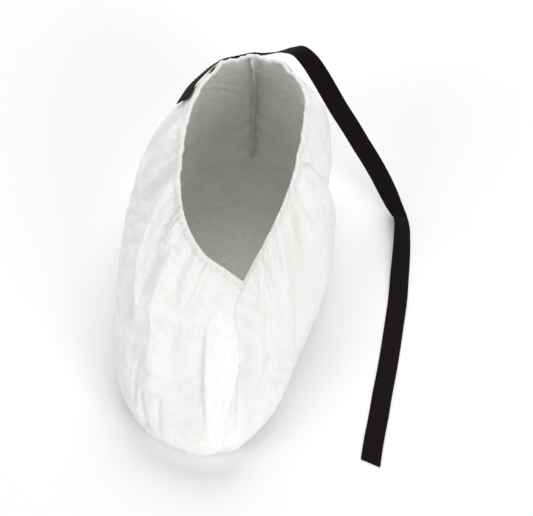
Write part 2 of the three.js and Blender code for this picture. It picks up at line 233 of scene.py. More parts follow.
def smooth_line(points, step):
    """A centripetal Catmull-Rom line through points, resampled to even steps of about step."""
    p = np.array(points, float)
    p = np.vstack([2 * p[0] - p[1], p, 2 * p[-1] - p[-2]])
    line = []
    for k in range(1, len(p) - 2):
        a, b, c, d = p[k - 1:k + 3]
        ab, bc, cd = (np.linalg.norm(v) ** 0.5 for v in (b - a, c - b, d - c))
        leave = ((b - a) / ab - (c - a) / (ab + bc) + (c - b) / bc) * bc
        arrive = ((c - b) / bc - (d - b) / (bc + cd) + (d - c) / cd) * bc
        t = np.linspace(0, 1, 24, endpoint=False)[:, None]
        line.append(
            (2 * t**3 - 3 * t**2 + 1) * b + (t**3 - 2 * t**2 + t) * leave
            + (3 * t**2 - 2 * t**3) * c + (t**3 - t**2) * arrive
        )
    line = np.vstack(line + [p[-2][None]])
    along = lengths(line)
    even = np.linspace(0, along[-1], int(along[-1] / step) + 1)
    return read_line(line, along, even), even


tail_line, tail_along = smooth_line(TAIL_ROUTE, 1.2)

# %% [markdown]
# A stiff tape doesn't lie flat at once. Where it comes down it still leans on one edge, and it flattens
# further on. Its middle line is lifted there by as much as the leaning edge needs.

# %% Turn the ribbon's width along the route
ACROSS_AT_HEEL = np.array([0.04, -0.58, 0.82])
ACROSS_HANGING = np.array([0.81, 0.49, 0.34])
ACROSS_ON_FLOOR = np.array([1.0, 0.0, 0.0])
TWIST_LENGTH = 62.0  # it has turned over this far from the heel
LANDING_HEIGHT = 18.0
LEAN, LEAN_LENGTH = math.radians(40), 105.0
FLOOR_BLEND = (6.0, 30.0)  # the heights between which it turns to lie along the floor
FLOOR_CLEARANCE = 0.03
MOST_SINK = 0.3  # the route lies about this much higher than the middle of a tape that lies flat
EASING_STEPS = 9


def carried_along(direction, across):
    """across at the line's start, carried along the line without any twist."""
    carried = [across]
    for way in direction:
        carried.append(unit(carried[-1] - way * (carried[-1] @ way)))
    return np.array(carried[1:])


def twist_towards(target, carried, beside):
    """How far a ribbon's width is turned from the carried one to lie along target."""
    return np.unwrap(np.arctan2(beside @ target, carried @ target), period=math.pi)


tail_direction = unit(np.gradient(tail_line, axis=0))
carried = carried_along(tail_direction, ACROSS_AT_HEEL)
beside = np.cross(tail_direction, carried)
hanging = twist_towards(ACROSS_HANGING, carried, beside)
lying = twist_towards(ACROSS_ON_FLOOR, carried, beside)
turned_over = np.searchsorted(tail_along, TWIST_LENGTH)
landing = np.searchsorted(-tail_line[:, 2], -LANDING_HEIGHT)
hanging -= math.pi * round(hanging[turned_over] / math.pi)
lying -= math.pi * round((lying[landing] - hanging[landing]) / math.pi)
leaving_heel = smoothstep(tail_along, -8, TWIST_LENGTH)
leaving_heel = (leaving_heel - leaving_heel[0]) / (1 - leaving_heel[0])
reaching_floor = 1 - smoothstep(tail_line[:, 2], *FLOOR_BLEND)
twist = leaving_heel * hanging * (1 - reaching_floor) + lying * reaching_floor
leaning_edge = (beside * np.cos(lying)[:, None] - carried * np.sin(lying)[:, None])[landing, 2]
flattening = smoothstep(tail_along, tail_along[landing], tail_along[landing] + LEAN_LENGTH)
twist += np.sign(leaning_edge) * LEAN * reaching_floor * (1 - flattening)
tail_across = carried * np.cos(twist)[:, None] + beside * np.sin(twist)[:, None]
tail_out = np.cross(tail_direction, tail_across)
half_height = RIBBON_WIDTH / 2 * np.abs(tail_across[:, 2]) + RIBBON_THICKNESS / 2 * np.abs(tail_out[:, 2])
needed = half_height + FLOOR_CLEARANCE - tail_line[:, 2]
lift = np.pad(np.maximum(-MOST_SINK * reaching_floor, needed), EASING_STEPS // 2, mode="edge")
lift = np.convolve(lift, np.ones(EASING_STEPS) / EASING_STEPS, mode="valid")
tape_line = tail_line + np.maximum(lift, needed)[:, None] * [0, 0, 1]
print("the ribbon turns", round(math.degrees(hanging[turned_over])), "degrees as it leaves the heel")

# %% Make the ribbon's tail
CUT_SLANT = math.radians(-18)
CUT_REACH = 8.0  # the slanted end is drawn from the tape's last steps


def tape_section(steps=18):
    """Across a woven tape: (place over the width, place through the thickness) round its outline."""
    half, face = RIBBON_WIDTH / 2, RIBBON_THICKNESS / 2
    over = np.linspace(-1, 1, steps + 1)
    woven_edge, rim = smoothstep(np.abs(over), 0.72, 0.9), np.abs(over) > 0.99
    body = face * (0.82 + 0.18 * woven_edge) * (1 - 0.55 * rim)  # thicker at the woven edge, then rounded
    top = np.stack([over * half, body], -1)
    bottom = np.stack([over[::-1] * half, -body[::-1]], -1)
    return np.vstack([top, bottom])


def tape_object(name, line, along, across, out, slant=0.0):
    """A tape along a line. Its last steps slide along it, so that its end is cut aslant."""
    section = tape_section()
    over, through = section[None, :, :1], section[None, :, 1:]
    net = line[:, None] + across[:, None] * over + out[:, None] * through
    last = smoothstep(along, along[-1] - CUT_REACH, along[-1])[:, None, None]
    way = unit(net[-1].mean(axis=0) - net[-2].mean(axis=0))
    return tube_object(name, net + last * over * math.tan(slant) * way, along, lengths(section))


ribbon_tail = tape_object("ribbon_tail_tape", tape_line, tail_along, tail_across, tail_out, CUT_SLANT)
print("the ribbon's lowest point:", round(min(v.co.z for v in ribbon_tail.data.vertices) * 1000, 2), "mm")

# %% [markdown]
# ## The floor and the lights
# White cloth on white ground shows its folds only by soft shade. So the key light is a large soft one,
# low in front and to the right: the toe is the brightest, and the far flank falls off gently. A weaker
# fill from the left keeps the shade pale, and a light from behind keeps the floor and the heel's edge
# bright. A small bare lamp would give hard shadows, which would make thin cloth look like plaster.

# %% Lay the floor and hang the lights
bpy.context.scene.view_settings.view_transform = "Standard"
LIGHT_AIM = Vector((0, 0, 0.04))


def set_inputs(node, inputs):
    """Sets a node's inputs by name or number, each to a number, a colour or a linked socket."""
    for title, value in inputs.items():
        if isinstance(value, bpy.types.NodeSocket):
            node.id_data.links.new(value, node.inputs[title])
        else:
            node.inputs[title].default_value = value


def new_finish(name, inputs):
    """A material with nodes, and its shader with some inputs set."""
    finish = bpy.data.materials.new(name)
    finish.use_nodes = True
    shader = finish.node_tree.nodes["Principled BSDF"]
    set_inputs(shader, inputs)
    return finish, shader


def soft_light(name, place, size, power):
    data = bpy.data.lights.new(name, "AREA")
    data.shape, data.size, data.energy = "DISK", size, power
    light = add_object(name, data)
    light.location = place
    light.rotation_euler = (LIGHT_AIM - Vector(place)).to_track_quat("-Z", "Y").to_euler()


soft_light("key_light", (0.89, -1.06, 0.57), 0.9, 10.6)
soft_light("fill_light", (-0.9, -0.87, 0.82), 0.9, 6.2)
soft_light("back_light", (0.0, 0.96, 1.15), 1.5, 16.8)

world = bpy.data.worlds.new("studio")
world.use_nodes = True
set_inputs(world.node_tree.nodes["Background"], {"Color": (1, 1, 1, 1), "Strength": 0.3})
bpy.context.scene.world = world

bpy.ops.mesh.primitive_plane_add(size=8, location=(0, 0, 0))
floor = bpy.context.object
floor.name = "floor"
floor.data.materials.append(new_finish("pale_floor", {
    "Base Color": (0.93, 0.93, 0.93, 1), "Roughness": 0.9, "Specular IOR Level": 0.1,
})[0])

# %% [markdown]
# ## The look of nonwoven cloth
# Spunbond nonwoven is a felt of fine plastic fibres, pressed together in a close pattern of small
# dents. It is matt, slightly cloudy where the fibres lie thicker, and dimpled like paper towel. An
# image could show this, but a small net of nodes keeps the dents sharp at any size and lets them
# follow the cloth. The dents and the cloudiness are node groups, because all the cloth pieces use them.

# %% A node group for the pressed dents
DENT_RIM = (0.24, 0.38)  # from a dent's flat floor to its rim, in steps of the grid
DENT_SQUEEZE = 2.2  # how much narrower an oval dent is one way, squared


def new_group(name, inputs, outputs):
    """A node group, with the sockets inside it that give its inputs, and its output node."""
    group = bpy.data.node_groups.new(name, "ShaderNodeTree")
    for way, sockets in (("INPUT", inputs), ("OUTPUT", outputs)):
        for title, kind in sockets.items():
            group.interface.new_socket(title, in_out=way, socket_type="NodeSocket" + kind)
    return group, group.nodes.new("NodeGroupInput").outputs, group.nodes.new("NodeGroupOutput")


def new_node(tree, kind, inputs=None, **settings):
    node = tree.nodes.new(kind)
    for title, value in settings.items():
        setattr(node, title, value)
    set_inputs(node, inputs or {})
    return node


def maths(tree, operation, *values):
    """A Math node; each value is a number or a socket."""
    return new_node(tree, "ShaderNodeMath", dict(enumerate(values)), operation=operation).outputs[0]


def weighted_sum(tree, a, part_a, b, part_b):
    return maths(tree, "ADD", maths(tree, "MULTIPLY", a, part_a), maths(tree, "MULTIPLY", b, part_b))


def remap(tree, value, low, high, to_low=0.0, to_high=1.0):
    inputs = {"Value": value, "From Min": low, "From Max": high, "To Min": to_low, "To Max": to_high}
    return new_node(tree, "ShaderNodeMapRange", inputs, interpolation_type="SMOOTHSTEP").outputs["Result"]


def noise(tree, vector, scale, detail=2.0, roughness=0.5, stretch=None):
    if stretch:
        vector = new_node(tree, "ShaderNodeMapping", {"Vector": vector, "Scale": stretch}).outputs["Vector"]
    inputs = {"Vector": vector, "Scale": scale, "Detail": detail, "Roughness": roughness}
    return new_node(tree, "ShaderNodeTexNoise", inputs).outputs["Fac"]


def mix(tree, factor, a, b, blend="MIX"):
    inputs = {"Factor": factor, "A": a, "B": b}
    return new_node(tree, "ShaderNodeMix", inputs, data_type="RGBA", blend_type=blend).outputs["Result"]


def bump(tree, height, distance):
    """A normal from a height; distance, in millimetres, is what a height of 1 stands for."""
    return new_node(tree, "ShaderNodeBump", {"Height": height, "Distance": distance * MM}).outputs["Normal"]


def flat_place(tree):
    """The place on the flat cloth."""
    return new_node(tree, "ShaderNodeUVMap", uv_map="cloth").outputs["UV"]


def dent_grid(tree, vector, count, turn):
    """0 between the dents and 1 in them: ovals on a square grid, turned by turn radians."""
    spin = new_node(tree, "ShaderNodeVectorRotate", {"Vector": vector, "Angle": turn}, rotation_type="Z_AXIS")
    turned = {0: spin.outputs["Vector"], "Scale": count}
    scaled = new_node(tree, "ShaderNodeVectorMath", turned, operation="SCALE").outputs[0]
    parts = new_node(tree, "ShaderNodeSeparateXYZ", {0: scaled}).outputs
    x, y = (maths(tree, "SUBTRACT", maths(tree, "FRACT", parts[axis]), 0.5) for axis in "XY")
    high = maths(tree, "MULTIPLY", maths(tree, "MULTIPLY", y, y), DENT_SQUEEZE)
    from_middle = maths(tree, "SQRT", maths(tree, "ADD", maths(tree, "MULTIPLY", x, x), high))
    return remap(tree, from_middle, *DENT_RIM, 1.0, 0.0)


DENTS_INPUTS = {"Cloth": "Vector", "Dents per unit": "Float"}
dents, dents_in, dents_out = new_group("pressed_dents", DENTS_INPUTS, {"Height": "Float", "Dent": "Float"})
dent = dent_grid(dents, dents_in["Cloth"], dents_in["Dents per unit"], math.radians(45))
fibres = [noise(dents, dents_in["Cloth"], 420, 2, 0.6, stretch) for stretch in ((1, 0.18, 1), (0.2, 1, 1))]
felt = maths(dents, "MULTIPLY", maths(dents, "ADD", *fibres), 0.3)
set_inputs(dents_out, {"Height": maths(dents, "SUBTRACT", felt, dent), "Dent": dent})
print("pressed_dents has", len(dents.nodes), "nodes")

# %% A node group for the cloth's cloudiness
CLOUDY_INPUTS = {"Cloth": "Vector", "Pale": "Color", "Deep": "Color"}
CLOUDY_OUTPUTS = {"Color": "Color", "Roughness": "Float"}
cloudy, cloudy_in, cloudy_out = new_group("cloudy_felt", CLOUDY_INPUTS, CLOUDY_OUTPUTS)
patches = noise(cloudy, cloudy_in["Cloth"], 28, 4, 0.6)
wide_patches = noise(cloudy, cloudy_in["Cloth"], 6, 2, 0.5)
thickness = remap(cloudy, weighted_sum(cloudy, patches, 0.65, wide_patches, 0.35), 0.36, 0.64)
set_inputs(cloudy_out, {
    "Color": mix(cloudy, thickness, cloudy_in["Deep"], cloudy_in["Pale"]),
    "Roughness": remap(cloudy, patches, 0.3, 0.7, 0.78, 0.9),
})
print("cloudy_felt has", len(cloudy.nodes), "nodes")

# %% [markdown]
# Beside the toe seam the cloth is painted whiter, in mottled patches: a painted highlight on the flat
# ridge there. The pieces say where that is by an attribute of their own, which is 0 on all the others.

# %% The cloth's finish
# the colour of the painted highlight beside the toe seam
TOE_HIGHLIGHT_WHITE = (0.968, 0.968, 0.965, 1)
DENT_TINT = (0.9, 0.9, 0.91, 1)


def cloth_finish(name, pale, deep, dent_depth, dents_per_unit=62.0):
    """A matt nonwoven. dent_depth is in millimetres."""
    finish, shader = new_finish(name, {"Specular IOR Level": 0.25})
    tree = finish.node_tree
    place = flat_place(tree)
    colours = {"Cloth": place, "Pale": (*pale, 1), "Deep": (*deep, 1)}
    felt = new_node(tree, "ShaderNodeGroup", colours, node_tree=cloudy).outputs
    count = {"Cloth": place, "Dents per unit": dents_per_unit}
    dented = new_node(tree, "ShaderNodeGroup", count, node_tree=dents).outputs
    # a painted highlight: whiter, mottled patches where the attribute is 1, beside the toe seam
    highlight_patch = new_node(tree, "ShaderNodeAttribute", attribute_name="spare_cloth_and_highlight").outputs["Fac"]
    highlight_mottling = remap(tree, noise(tree, place, 26, 3, 0.65), 0.34, 0.62, 0.45, 1.0)
    with_toe_highlight = mix(tree, maths(tree, "MULTIPLY", highlight_patch, highlight_mottling), felt["Color"], TOE_HIGHLIGHT_WHITE)
    tinted = maths(tree, "MULTIPLY", dented["Dent"], 0.35)
    set_inputs(shader, {
        "Base Color": mix(tree, tinted, with_toe_highlight, DENT_TINT, "MULTIPLY"),
        "Roughness": felt["Roughness"],
        "Normal": bump(tree, dented["Height"], dent_depth),
    })
    return finish


NONWOVEN = cloth_finish("nonwoven", (0.93, 0.92, 0.905), (0.895, 0.883, 0.866), 0.12)
SOLE_CLOTH = cloth_finish("sole_nonwoven", (0.9, 0.89, 0.87), (0.82, 0.81, 0.79), 0.12)
SEAM_CLOTH = cloth_finish("seam_nonwoven", (0.9, 0.89, 0.875), (0.82, 0.81, 0.79), 0.08)
HEM_CLOTH = cloth_finish("hem_nonwoven", (0.93, 0.92, 0.905), (0.85, 0.84, 0.82), 0.1, 90.0)
print("cloth finishes:", NONWOVEN.name, SOLE_CLOTH.name, SEAM_CLOTH.name, HEM_CLOTH.name)

# %% [markdown]
# ## The look of the conductive ribbon
# The ribbon is a black tape woven with fine ribs across it. Carbon threads make it conductive, and
# leave it a soft near-black, a little brown. The crests of the ribs are smoother, for a faint sheen, and
# are painted a little lighter as a painted highlight, while the valleys between them are painted darker
# as painted shade. The ribs and the warp threads are two waves along the tape's own UV map, at their
# real spacing.

# %% The ribbon's finish
def wave(tree, place):
    """0 at every whole number and 1 midway between them."""
    return maths(tree, "ABSOLUTE", maths(tree, "SINE", maths(tree, "MULTIPLY", place, math.pi)))


RIBS, WARPS = 110.0, 210.0  # in 100 mm of tape, along it and across it
WOVEN_OUTPUTS = {"Height": "Float", "Crest": "Float"}
woven, woven_in, woven_out = new_group("woven_ribs", {"Tape": "Vector"}, WOVEN_OUTPUTS)
tape_place = new_node(woven, "ShaderNodeSeparateXYZ", {0: woven_in["Tape"]}).outputs
wander = maths(woven, "MULTIPLY", noise(woven, woven_in["Tape"], 60, 2), 0.9)
rib_place = maths(woven, "ADD", maths(woven, "MULTIPLY", tape_place["X"], RIBS), wander)
half_step = maths(woven, "MULTIPLY", maths(woven, "FLOOR", rib_place), 0.5)
warp_place = maths(woven, "MULTIPLY", tape_place["Y"], WARPS)
warp_place = maths(woven, "ADD", warp_place, half_step)
weave_height = weighted_sum(woven, wave(woven, rib_place), 0.7, wave(woven, warp_place), 0.3)
set_inputs(woven_out, {"Height": weave_height, "Crest": remap(woven, weave_height, 0.5, 0.95)})


def ribbon_finish(name, crest, valley):
    finish, shader = new_finish(name, {"Specular IOR Level": 0.06, "Sheen Weight": 0.02})
    tree = finish.node_tree
    weave = new_node(tree, "ShaderNodeGroup", {"Tape": flat_place(tree)}, node_tree=woven).outputs
    set_inputs(shader, {
        # painted highlight on the ribs' crests and painted shade in the valleys between them
        "Base Color": mix(tree, weave["Crest"], (*valley, 1), (*crest, 1)),
        "Roughness": remap(tree, weave["Crest"], 0, 1, 0.75, 0.55),
        "Normal": bump(tree, weave["Height"], 0.12),
    })
    return finish


# a lighter colour for the painted highlight on the crests, and a darker one for the painted shade in the
# valleys
BLACK_RIBBON = ribbon_finish("black_ribbon", (0.0098, 0.0052, 0.005), (0.004, 0.0023, 0.0022))
finish_piece(ribbon_tail, BLACK_RIBBON, "conductive_ribbon", "ribbon_tail")

# %% [markdown]
# ## The cover's form
# Both side walls run from the toe seam to the heel seam. A wall is known by a few sections, one for
# each row of a table: how far out its belly stands, where its elastic edge lies, and how far the cloth
# puffs out below that edge. A place on a wall has two numbers: at, from 0 at the toe seam to 1 at the
# heel seam, and share, from 0 at the sole to 1 at the elastic edge.

# %% The sections of the walls
HALF_WIDTH, HALF_LENGTH, SOLE_INSET = 66.0, 142.0, 14.0
BELLY_SHARE = 0.3
GIRTH, RISE = 300.0, 150.0  # a wall's length round the cover and its height, on the flat cloth
AT, BELLY_X, BELLY_Y, BELLY_Z, EDGE_X, EDGE_Y, EDGE_Z, PUFF, DROP = range(9)
FOOT_CURL, BELLY_PULL, EDGE_PULL = 0.75, 0.4, 0.4  # how strongly the wall's curve bends at each place

OUTER = {"name": "outer", "sign": -1, "sections": np.array([
    # at, belly x, y, z, edge x, y, z, puff, drop
    (0, 13, -139, 15, 17, -47, 73, 40, 18),
    (0.1, -11, -138, 17, 5, -41, 77, 36, 16),
    (0.22, -43, -121, 22, -10, -33, 82, 30, 13),
    (0.35, -63.5, -83, 29, -23, -15, 89, 22, 10),
    (0.5, -69, -30, 36, -30, 8, 97, 18, 9),
    (0.65, -70, 28, 43, -32, 38, 105, 14, 8),
    (0.8, -62, 84, 49, -28, 76, 112, 11, 8),
    (0.92, -34, 130, 52, -13, 104, 117, 8, 8),
    (1, 4, 142, 53, 6, 111, 120, 7, 8),
], float)}
INNER = {"name": "inner", "sign": 1, "sections": np.array([
    (0, 13, -139, 15, 17, -47, 73, 40, 18),
    (0.08, 24, -131, 19, 21, -37, 77, 36, 16),
    (0.2, 44, -101, 24, 27, -24, 83, 30, 12),
    (0.35, 56, -57, 31, 36, -1, 93, 21, 10),
    (0.5, 68, -5, 38, 42, 22, 102, 16, 9),
    (0.65, 69, 45, 44, 45, 52, 111, 14, 8),
    (0.8, 58, 94, 49, 43, 82, 118, 13, 8),
    (0.92, 38, 131, 52, 26, 104, 121, 9, 8),
    (1, 4, 142, 53, 6, 111, 120, 7, 8),
], float)}


def smooth_curve(places, values, at):
    """A smooth curve through a table's rows, read at each of at."""
    last = len(places) - 1
    after, before = np.minimum(np.arange(last + 1) + 1, last), np.maximum(np.arange(last + 1) - 1, 0)
    slope = (values[after] - values[before]) / (places[after] - places[before])
    i = np.clip(np.searchsorted(places, at), 1, last)
    span = places[i] - places[i - 1]
    s = np.clip((at - places[i - 1]) / span, 0, 1)
    ease = s * s * (3 - 2 * s)
    level = values[i - 1] * (1 - ease) + values[i] * ease
    return level + span * (s * (1 - s) ** 2 * slope[i - 1] + s * s * (s - 1) * slope[i])


def read_sections(side, columns, at):
    table = side["sections"]
    return np.stack([smooth_curve(table[:, AT], table[:, column], at) for column in columns], -1)


def bezier(a, b, c, d, t):
    t = t[..., None]
    return (1 - t) ** 3 * a + 3 * (1 - t) ** 2 * t * b + 3 * (1 - t) * t * t * c + t**3 * d


def smooth_wall(side, at, share):
    """Points on the wall's smooth outer surface, in millimetres, for arrays of at and share."""
    at, share = np.broadcast_arrays(np.asarray(at, float), np.asarray(share, float))
    belly = read_sections(side, (BELLY_X, BELLY_Y, BELLY_Z), at)
    edge = read_sections(side, (EDGE_X, EDGE_Y, EDGE_Z), at)
    foot = belly * np.array([1 - SOLE_INSET / HALF_WIDTH, 1 - SOLE_INSET / HALF_LENGTH, 0])
    curled = foot + (belly - foot) * FOOT_CURL
    curled[..., 2] = 0
    standing = belly * np.array([1, 1, BELLY_PULL])
    lower = bezier(foot, curled, standing, belly, np.clip(share / BELLY_SHARE, 0, 1))
    outward = unit((belly - edge) * np.array([1, 1, 0]))
    standing = belly.copy()
    standing[..., 2] += (edge[..., 2] - belly[..., 2]) * EDGE_PULL
    turned = edge + outward * read_sections(side, (PUFF,), at)
    turned[..., 2] -= read_sections(side, (DROP,), at)[..., 0]
    upper = bezier(belly, standing, turned, edge, np.clip((share - BELLY_SHARE) / (1 - BELLY_SHARE), 0, 1))
    return np.where((share < BELLY_SHARE)[..., None], lower, upper)


def wall_frames(side, at, share):
    """A net of points on the smooth wall, and the directions out of it there. On a seam they lie in
    the seam's own plane."""
    points = smooth_wall(side, at, share)
    normals = np.cross(np.gradient(points, axis=1), np.gradient(points, axis=0)) * -side["sign"]
    normals[..., 0] *= np.where((at < 1e-9) | (at > 1 - 1e-9), 0, 1)
    return points, unit(normals)


def height_on_cloth(side, at, share):
    """How far up the flat cloth each place of a net lies, measured along the wall."""
    steps = np.linalg.norm(np.diff(smooth_wall(side, at, share), axis=1), axis=-1)
    return np.concatenate([np.zeros((len(steps), 1)), np.cumsum(steps, axis=1)], axis=1)


def share_below_edge(side, at, distance):
    """The share at which the wall lies a distance below its elastic edge."""
    at = np.asarray(at, float)
    top = smooth_wall(side, at, np.ones_like(at))
    low, high = np.full_like(at, BELLY_SHARE), np.ones_like(at)
    for _ in range(16):
        middle = (low + high) / 2
        far = np.linalg.norm(smooth_wall(side, at, middle) - top, axis=-1) > distance
        low, high = np.where(far, middle, low), np.where(far, high, middle)
    return high


widest = smooth_wall(OUTER, np.linspace(0, 1, 60), np.full(60, BELLY_SHARE))[:, 0].min()
print("the outer wall's belly reaches x =", round(float(widest), 1), "mm")

# %% [markdown]
# ## Folds and gathers
# Cloth that is drawn together by elastic has long folds, which run from the opening towards the toe,
# and close pleats along the elastic, which fade down the wall. Both are heights along the direction
# out of the wall. A simulation could find folds too, but not these ones in their known places, so the
# main folds are drawn first, and a simulation adds the small creases afterwards.

# %% The long folds
# Each row: three places as (at, share), the width to the fold's flank, its depth, and how far the
# cloth on its toe side leans over it, in millimetres. A negative depth is a ridge.
FOLDS = {
    "outer": [
        # long valleys from the opening towards the toe, and the soft ridges between them
        ((0.61, 0.97), (0.585, 0.56), (0.375, 0.53), 9, 5, 0),
        ((0.45, 0.94), (0.405, 0.79), (0.345, 0.68), 7, 3.4, 0),
        ((0.35, 0.63), (0.32, 0.58), (0.28, 0.5), 6, 1.0, 0),
        ((0.71, 0.9), (0.67, 0.74), (0.655, 0.6), 8, -3.0, 0),
        ((0.775, 0.94), (0.76, 0.76), (0.73, 0.56), 7, 2.6, 0),
        ((0.53, 0.94), (0.52, 0.62), (0.33, 0.6), 6, -2.2, 0),
        ((0.35, 0.86), (0.29, 0.66), (0.21, 0.54), 7, -1.9, 0),
        ((0.27, 0.88), (0.2, 0.66), (0.13, 0.54), 8, 1.2, 0),
        ((0.87, 0.82), (0.85, 0.6), (0.79, 0.34), 12, 1.9, 0),
        # the toe: a flat ridge beside its crease, short creases up from its rim, and its turned corner
        ((0.075, 0.78), (0.062, 0.6), (0.045, 0.4), 9, -2.0, 0),
        ((0.262, 0.52), (0.248, 0.46), (0.236, 0.37), 2.6, 1.5, 0),
        ((0.222, 0.43), (0.205, 0.38), (0.196, 0.3), 3.2, 2.0, 0),
        ((0.175, 0.47), (0.165, 0.4), (0.16, 0.33), 3, 0.9, 0),
        ((0.12, 0.372), (0.06, 0.35), (0.012, 0.332), 1.8, 1.6, 0),
        ((0.11, 0.335), (0.07, 0.318), (0.02, 0.31), 1.6, 1.1, 0),
        ((0.16, 0.3), (0.1, 0.285), (0.02, 0.285), 5, -1.6, 0),
    ],
    "inner": [
        # a valley that parts the instep from the side, with a full lobe behind it
        ((0.42, 0.96), (0.425, 0.69), (0.33, 0.36), 9, 5, 2.8),
        ((0.31, 0.85), (0.3, 0.6), (0.28, 0.38), 9, -2, 0),
        ((0.53, 0.86), (0.5, 0.62), (0.46, 0.36), 15, -3, 0),
        # a deep notch in front of the heel, folds before and behind it, and the heel's bulge
        ((0.575, 0.96), (0.64, 0.68), (0.71, 0.24), 9, 7, 2.5),
        ((0.53, 0.93), (0.55, 0.75), (0.575, 0.58), 4, 3.2, 0.8),
        ((0.475, 0.92), (0.475, 0.8), (0.49, 0.66), 4.5, 2.3, 0.5),
        ((0.7, 0.97), (0.715, 0.8), (0.73, 0.58), 5.5, 2.8, 0),
        ((0.77, 0.9), (0.79, 0.72), (0.8, 0.5), 13, -3, 0),
        ((0.88, 0.92), (0.87, 0.7), (0.89, 0.4), 10, 2.2, 0),
        # small creases on the instep, and a low ridge and a soft valley beside the toe seam
        ((0.185, 0.92), (0.175, 0.76), (0.175, 0.58), 4.2, 1.7, 0),
        ((0.18, 0.57), (0.155, 0.52), (0.135, 0.5), 4, 1.8, 0),
        ((0.432, 0.83), (0.42, 0.76), (0.41, 0.67), 4, 1.2, 0),
        ((0.03, 0.68), (0.06, 0.52), (0.07, 0.34), 6, -1.9, 0),
        ((0.08, 0.68), (0.135, 0.5), (0.12, 0.34), 8, 1.8, 0),
        ((0.1, 0.37), (0.05, 0.34), (0.012, 0.33), 1.8, 0.8, 0),
    ],
}
# A pleat: the cloth on its toe side lies higher, falls off at the crease, and laps over it a little.
PLEATS = {
    "outer": [((0.118, 0.8), (0.1, 0.69), (0.052, 0.46), 1.25)],
    "inner": [((0.372, 0.5), (0.345, 0.42), (0.318, 0.33), 1.6)],
}
PLEAT_REACH, PLEAT_SUNK_REACH = 11.0, 4.5  # how far its raised and its sunk side take to even out
CREASE_PART, CREASE_WIDTH = 0.12, 0.16  # a valley's crease: its part of the depth, and of the width


def distance_to_line(places, at, share, steps=8):
    """From places on the flat cloth to a curved line on it: how far away, how far to its toe side,
    and how far along it, from 0 to 1."""
    u, v = at * GIRTH, share * RISE
    a, b, c = (np.array([along * GIRTH, up * RISE]) for along, up in places)
    bend = np.linspace(0, 1, steps + 1)[:, None]
    line = (1 - bend) ** 2 * a + 2 * (1 - bend) * bend * b + bend**2 * c
    away, toe_side, along_line = np.full(u.shape, np.inf), np.zeros(u.shape), np.zeros(u.shape)
    for k, (start, end) in enumerate(zip(line[:-1], line[1:])):
        way = end - start
        t = np.clip(((u - start[0]) * way[0] + (v - start[1]) * way[1]) / (way @ way), 0, 1)
        off_u, off_v = u - start[0] - t * way[0], v - start[1] - t * way[1]
        far = np.hypot(off_u, off_v)
        closer = far < away
        away = np.where(closer, far, away)
        toe_side = np.where(closer, far * np.sign(off_u * way[1] - off_v * way[0]), toe_side)
        along_line = np.where(closer, (k + t) / steps, along_line)
    return away, toe_side, along_line


def clear_of_borders(at, share):
    """Folds fade out at the sole and the seams, and the elastic draws them nearly flat."""
    near_elastic = smoothstep(share, 0.82, 0.97)
    return smoothstep(share, 0.04, 0.24) * inside(at, 0.03, 0.04) * (1 - 0.7 * near_elastic)


def folded(side, at, share):
    """How far the folds push the cloth out, and how far it is drawn towards the heel over them."""
    height, shift = np.zeros(at.shape), np.zeros(at.shape)
    for *places, width, depth, lean in FOLDS[side["name"]]:
        away, toe_side, along_line = distance_to_line(places, at, share)
        height -= depth * bell(away, width)
        if depth > 0:  # the bottom of a valley is a crease
            crease = inside(along_line, 0.2, 0.4) * np.exp(-away / (CREASE_WIDTH * width))
            height -= CREASE_PART * depth * crease
        shift += lean * bell(toe_side - 0.55 * width, 0.6 * width)
    for *places, rise in PLEATS[side["name"]]:
        _, toe_side, along_line = distance_to_line(places, at, share)
        raised = smoothstep(toe_side, -0.8, 2.0) * bell(np.maximum(toe_side, 0), PLEAT_REACH)
        fading = np.exp(np.minimum(toe_side, 0) / PLEAT_SUNK_REACH)
        sunk = 0.45 * (1 - smoothstep(toe_side, -0.5, 0.4)) * fading
        height += rise * inside(along_line, 0.6, 0.25) * (raised - sunk)
        ends = smoothstep(along_line, 0.1, 0.4) * smoothstep(1 - along_line, 0.05, 0.3)
        shift += 0.45 * rise * ends * bell(toe_side - 1.6, 1.6)
    clear = clear_of_borders(at, share)
    return height * clear, shift * clear * (1 - smoothstep(share, 0.8, 0.93))


# %% The gathers along the elastic
GATHERS, GATHER_DEPTH = 13, 1.3  # broad pleats on each wall
FINE_GATHERS = (  # how many, how deep, the share where they start, and how far they wander
    (29, 0.55, 0.66, 0.010), (47, 0.42, 0.78, 0.006), (71, 0.28, 0.86, 0.004),
)
CALM_BESIDE_TOE = 0.65  # little cloth is gathered there


def gather_height(side, at, share):
    """Broad pleats, and finer ones between them that fade sooner down the wall."""
    uneven = 0.7 + 0.3 * np.cos(2 * math.pi * 3 * at + 1)
    spread = smoothstep(share, 0.5, 0.88) * (1 - 0.5 * smoothstep(share, 0.88, 1))
    calm = 1 - CALM_BESIDE_TOE * (1 - smoothstep(at, 0.08, 0.24))
    height = GATHER_DEPTH * np.cos(2 * math.pi * GATHERS * at) * uneven * spread * calm
    for count, depth, start, wander in FINE_GATHERS:
        drift = at + wander * np.sin(2 * math.pi * (5 * at + 1.3 * share + 0.1 * count))
        drift = drift + 0.02 * side["sign"] * (1 - share)
        strength = 0.6 + 0.4 * np.sin(2 * math.pi * 4 * at + count)
        pleats = depth * strength * np.sin(2 * math.pi * count * drift)
        height += pleats * smoothstep(share, start, 0.97) * calm
    return height * inside(at, 0.01, 0.01)


# %% A few sharp creases from the packet
CREASES, CREASE_SEED = 84, 11  # on each wall


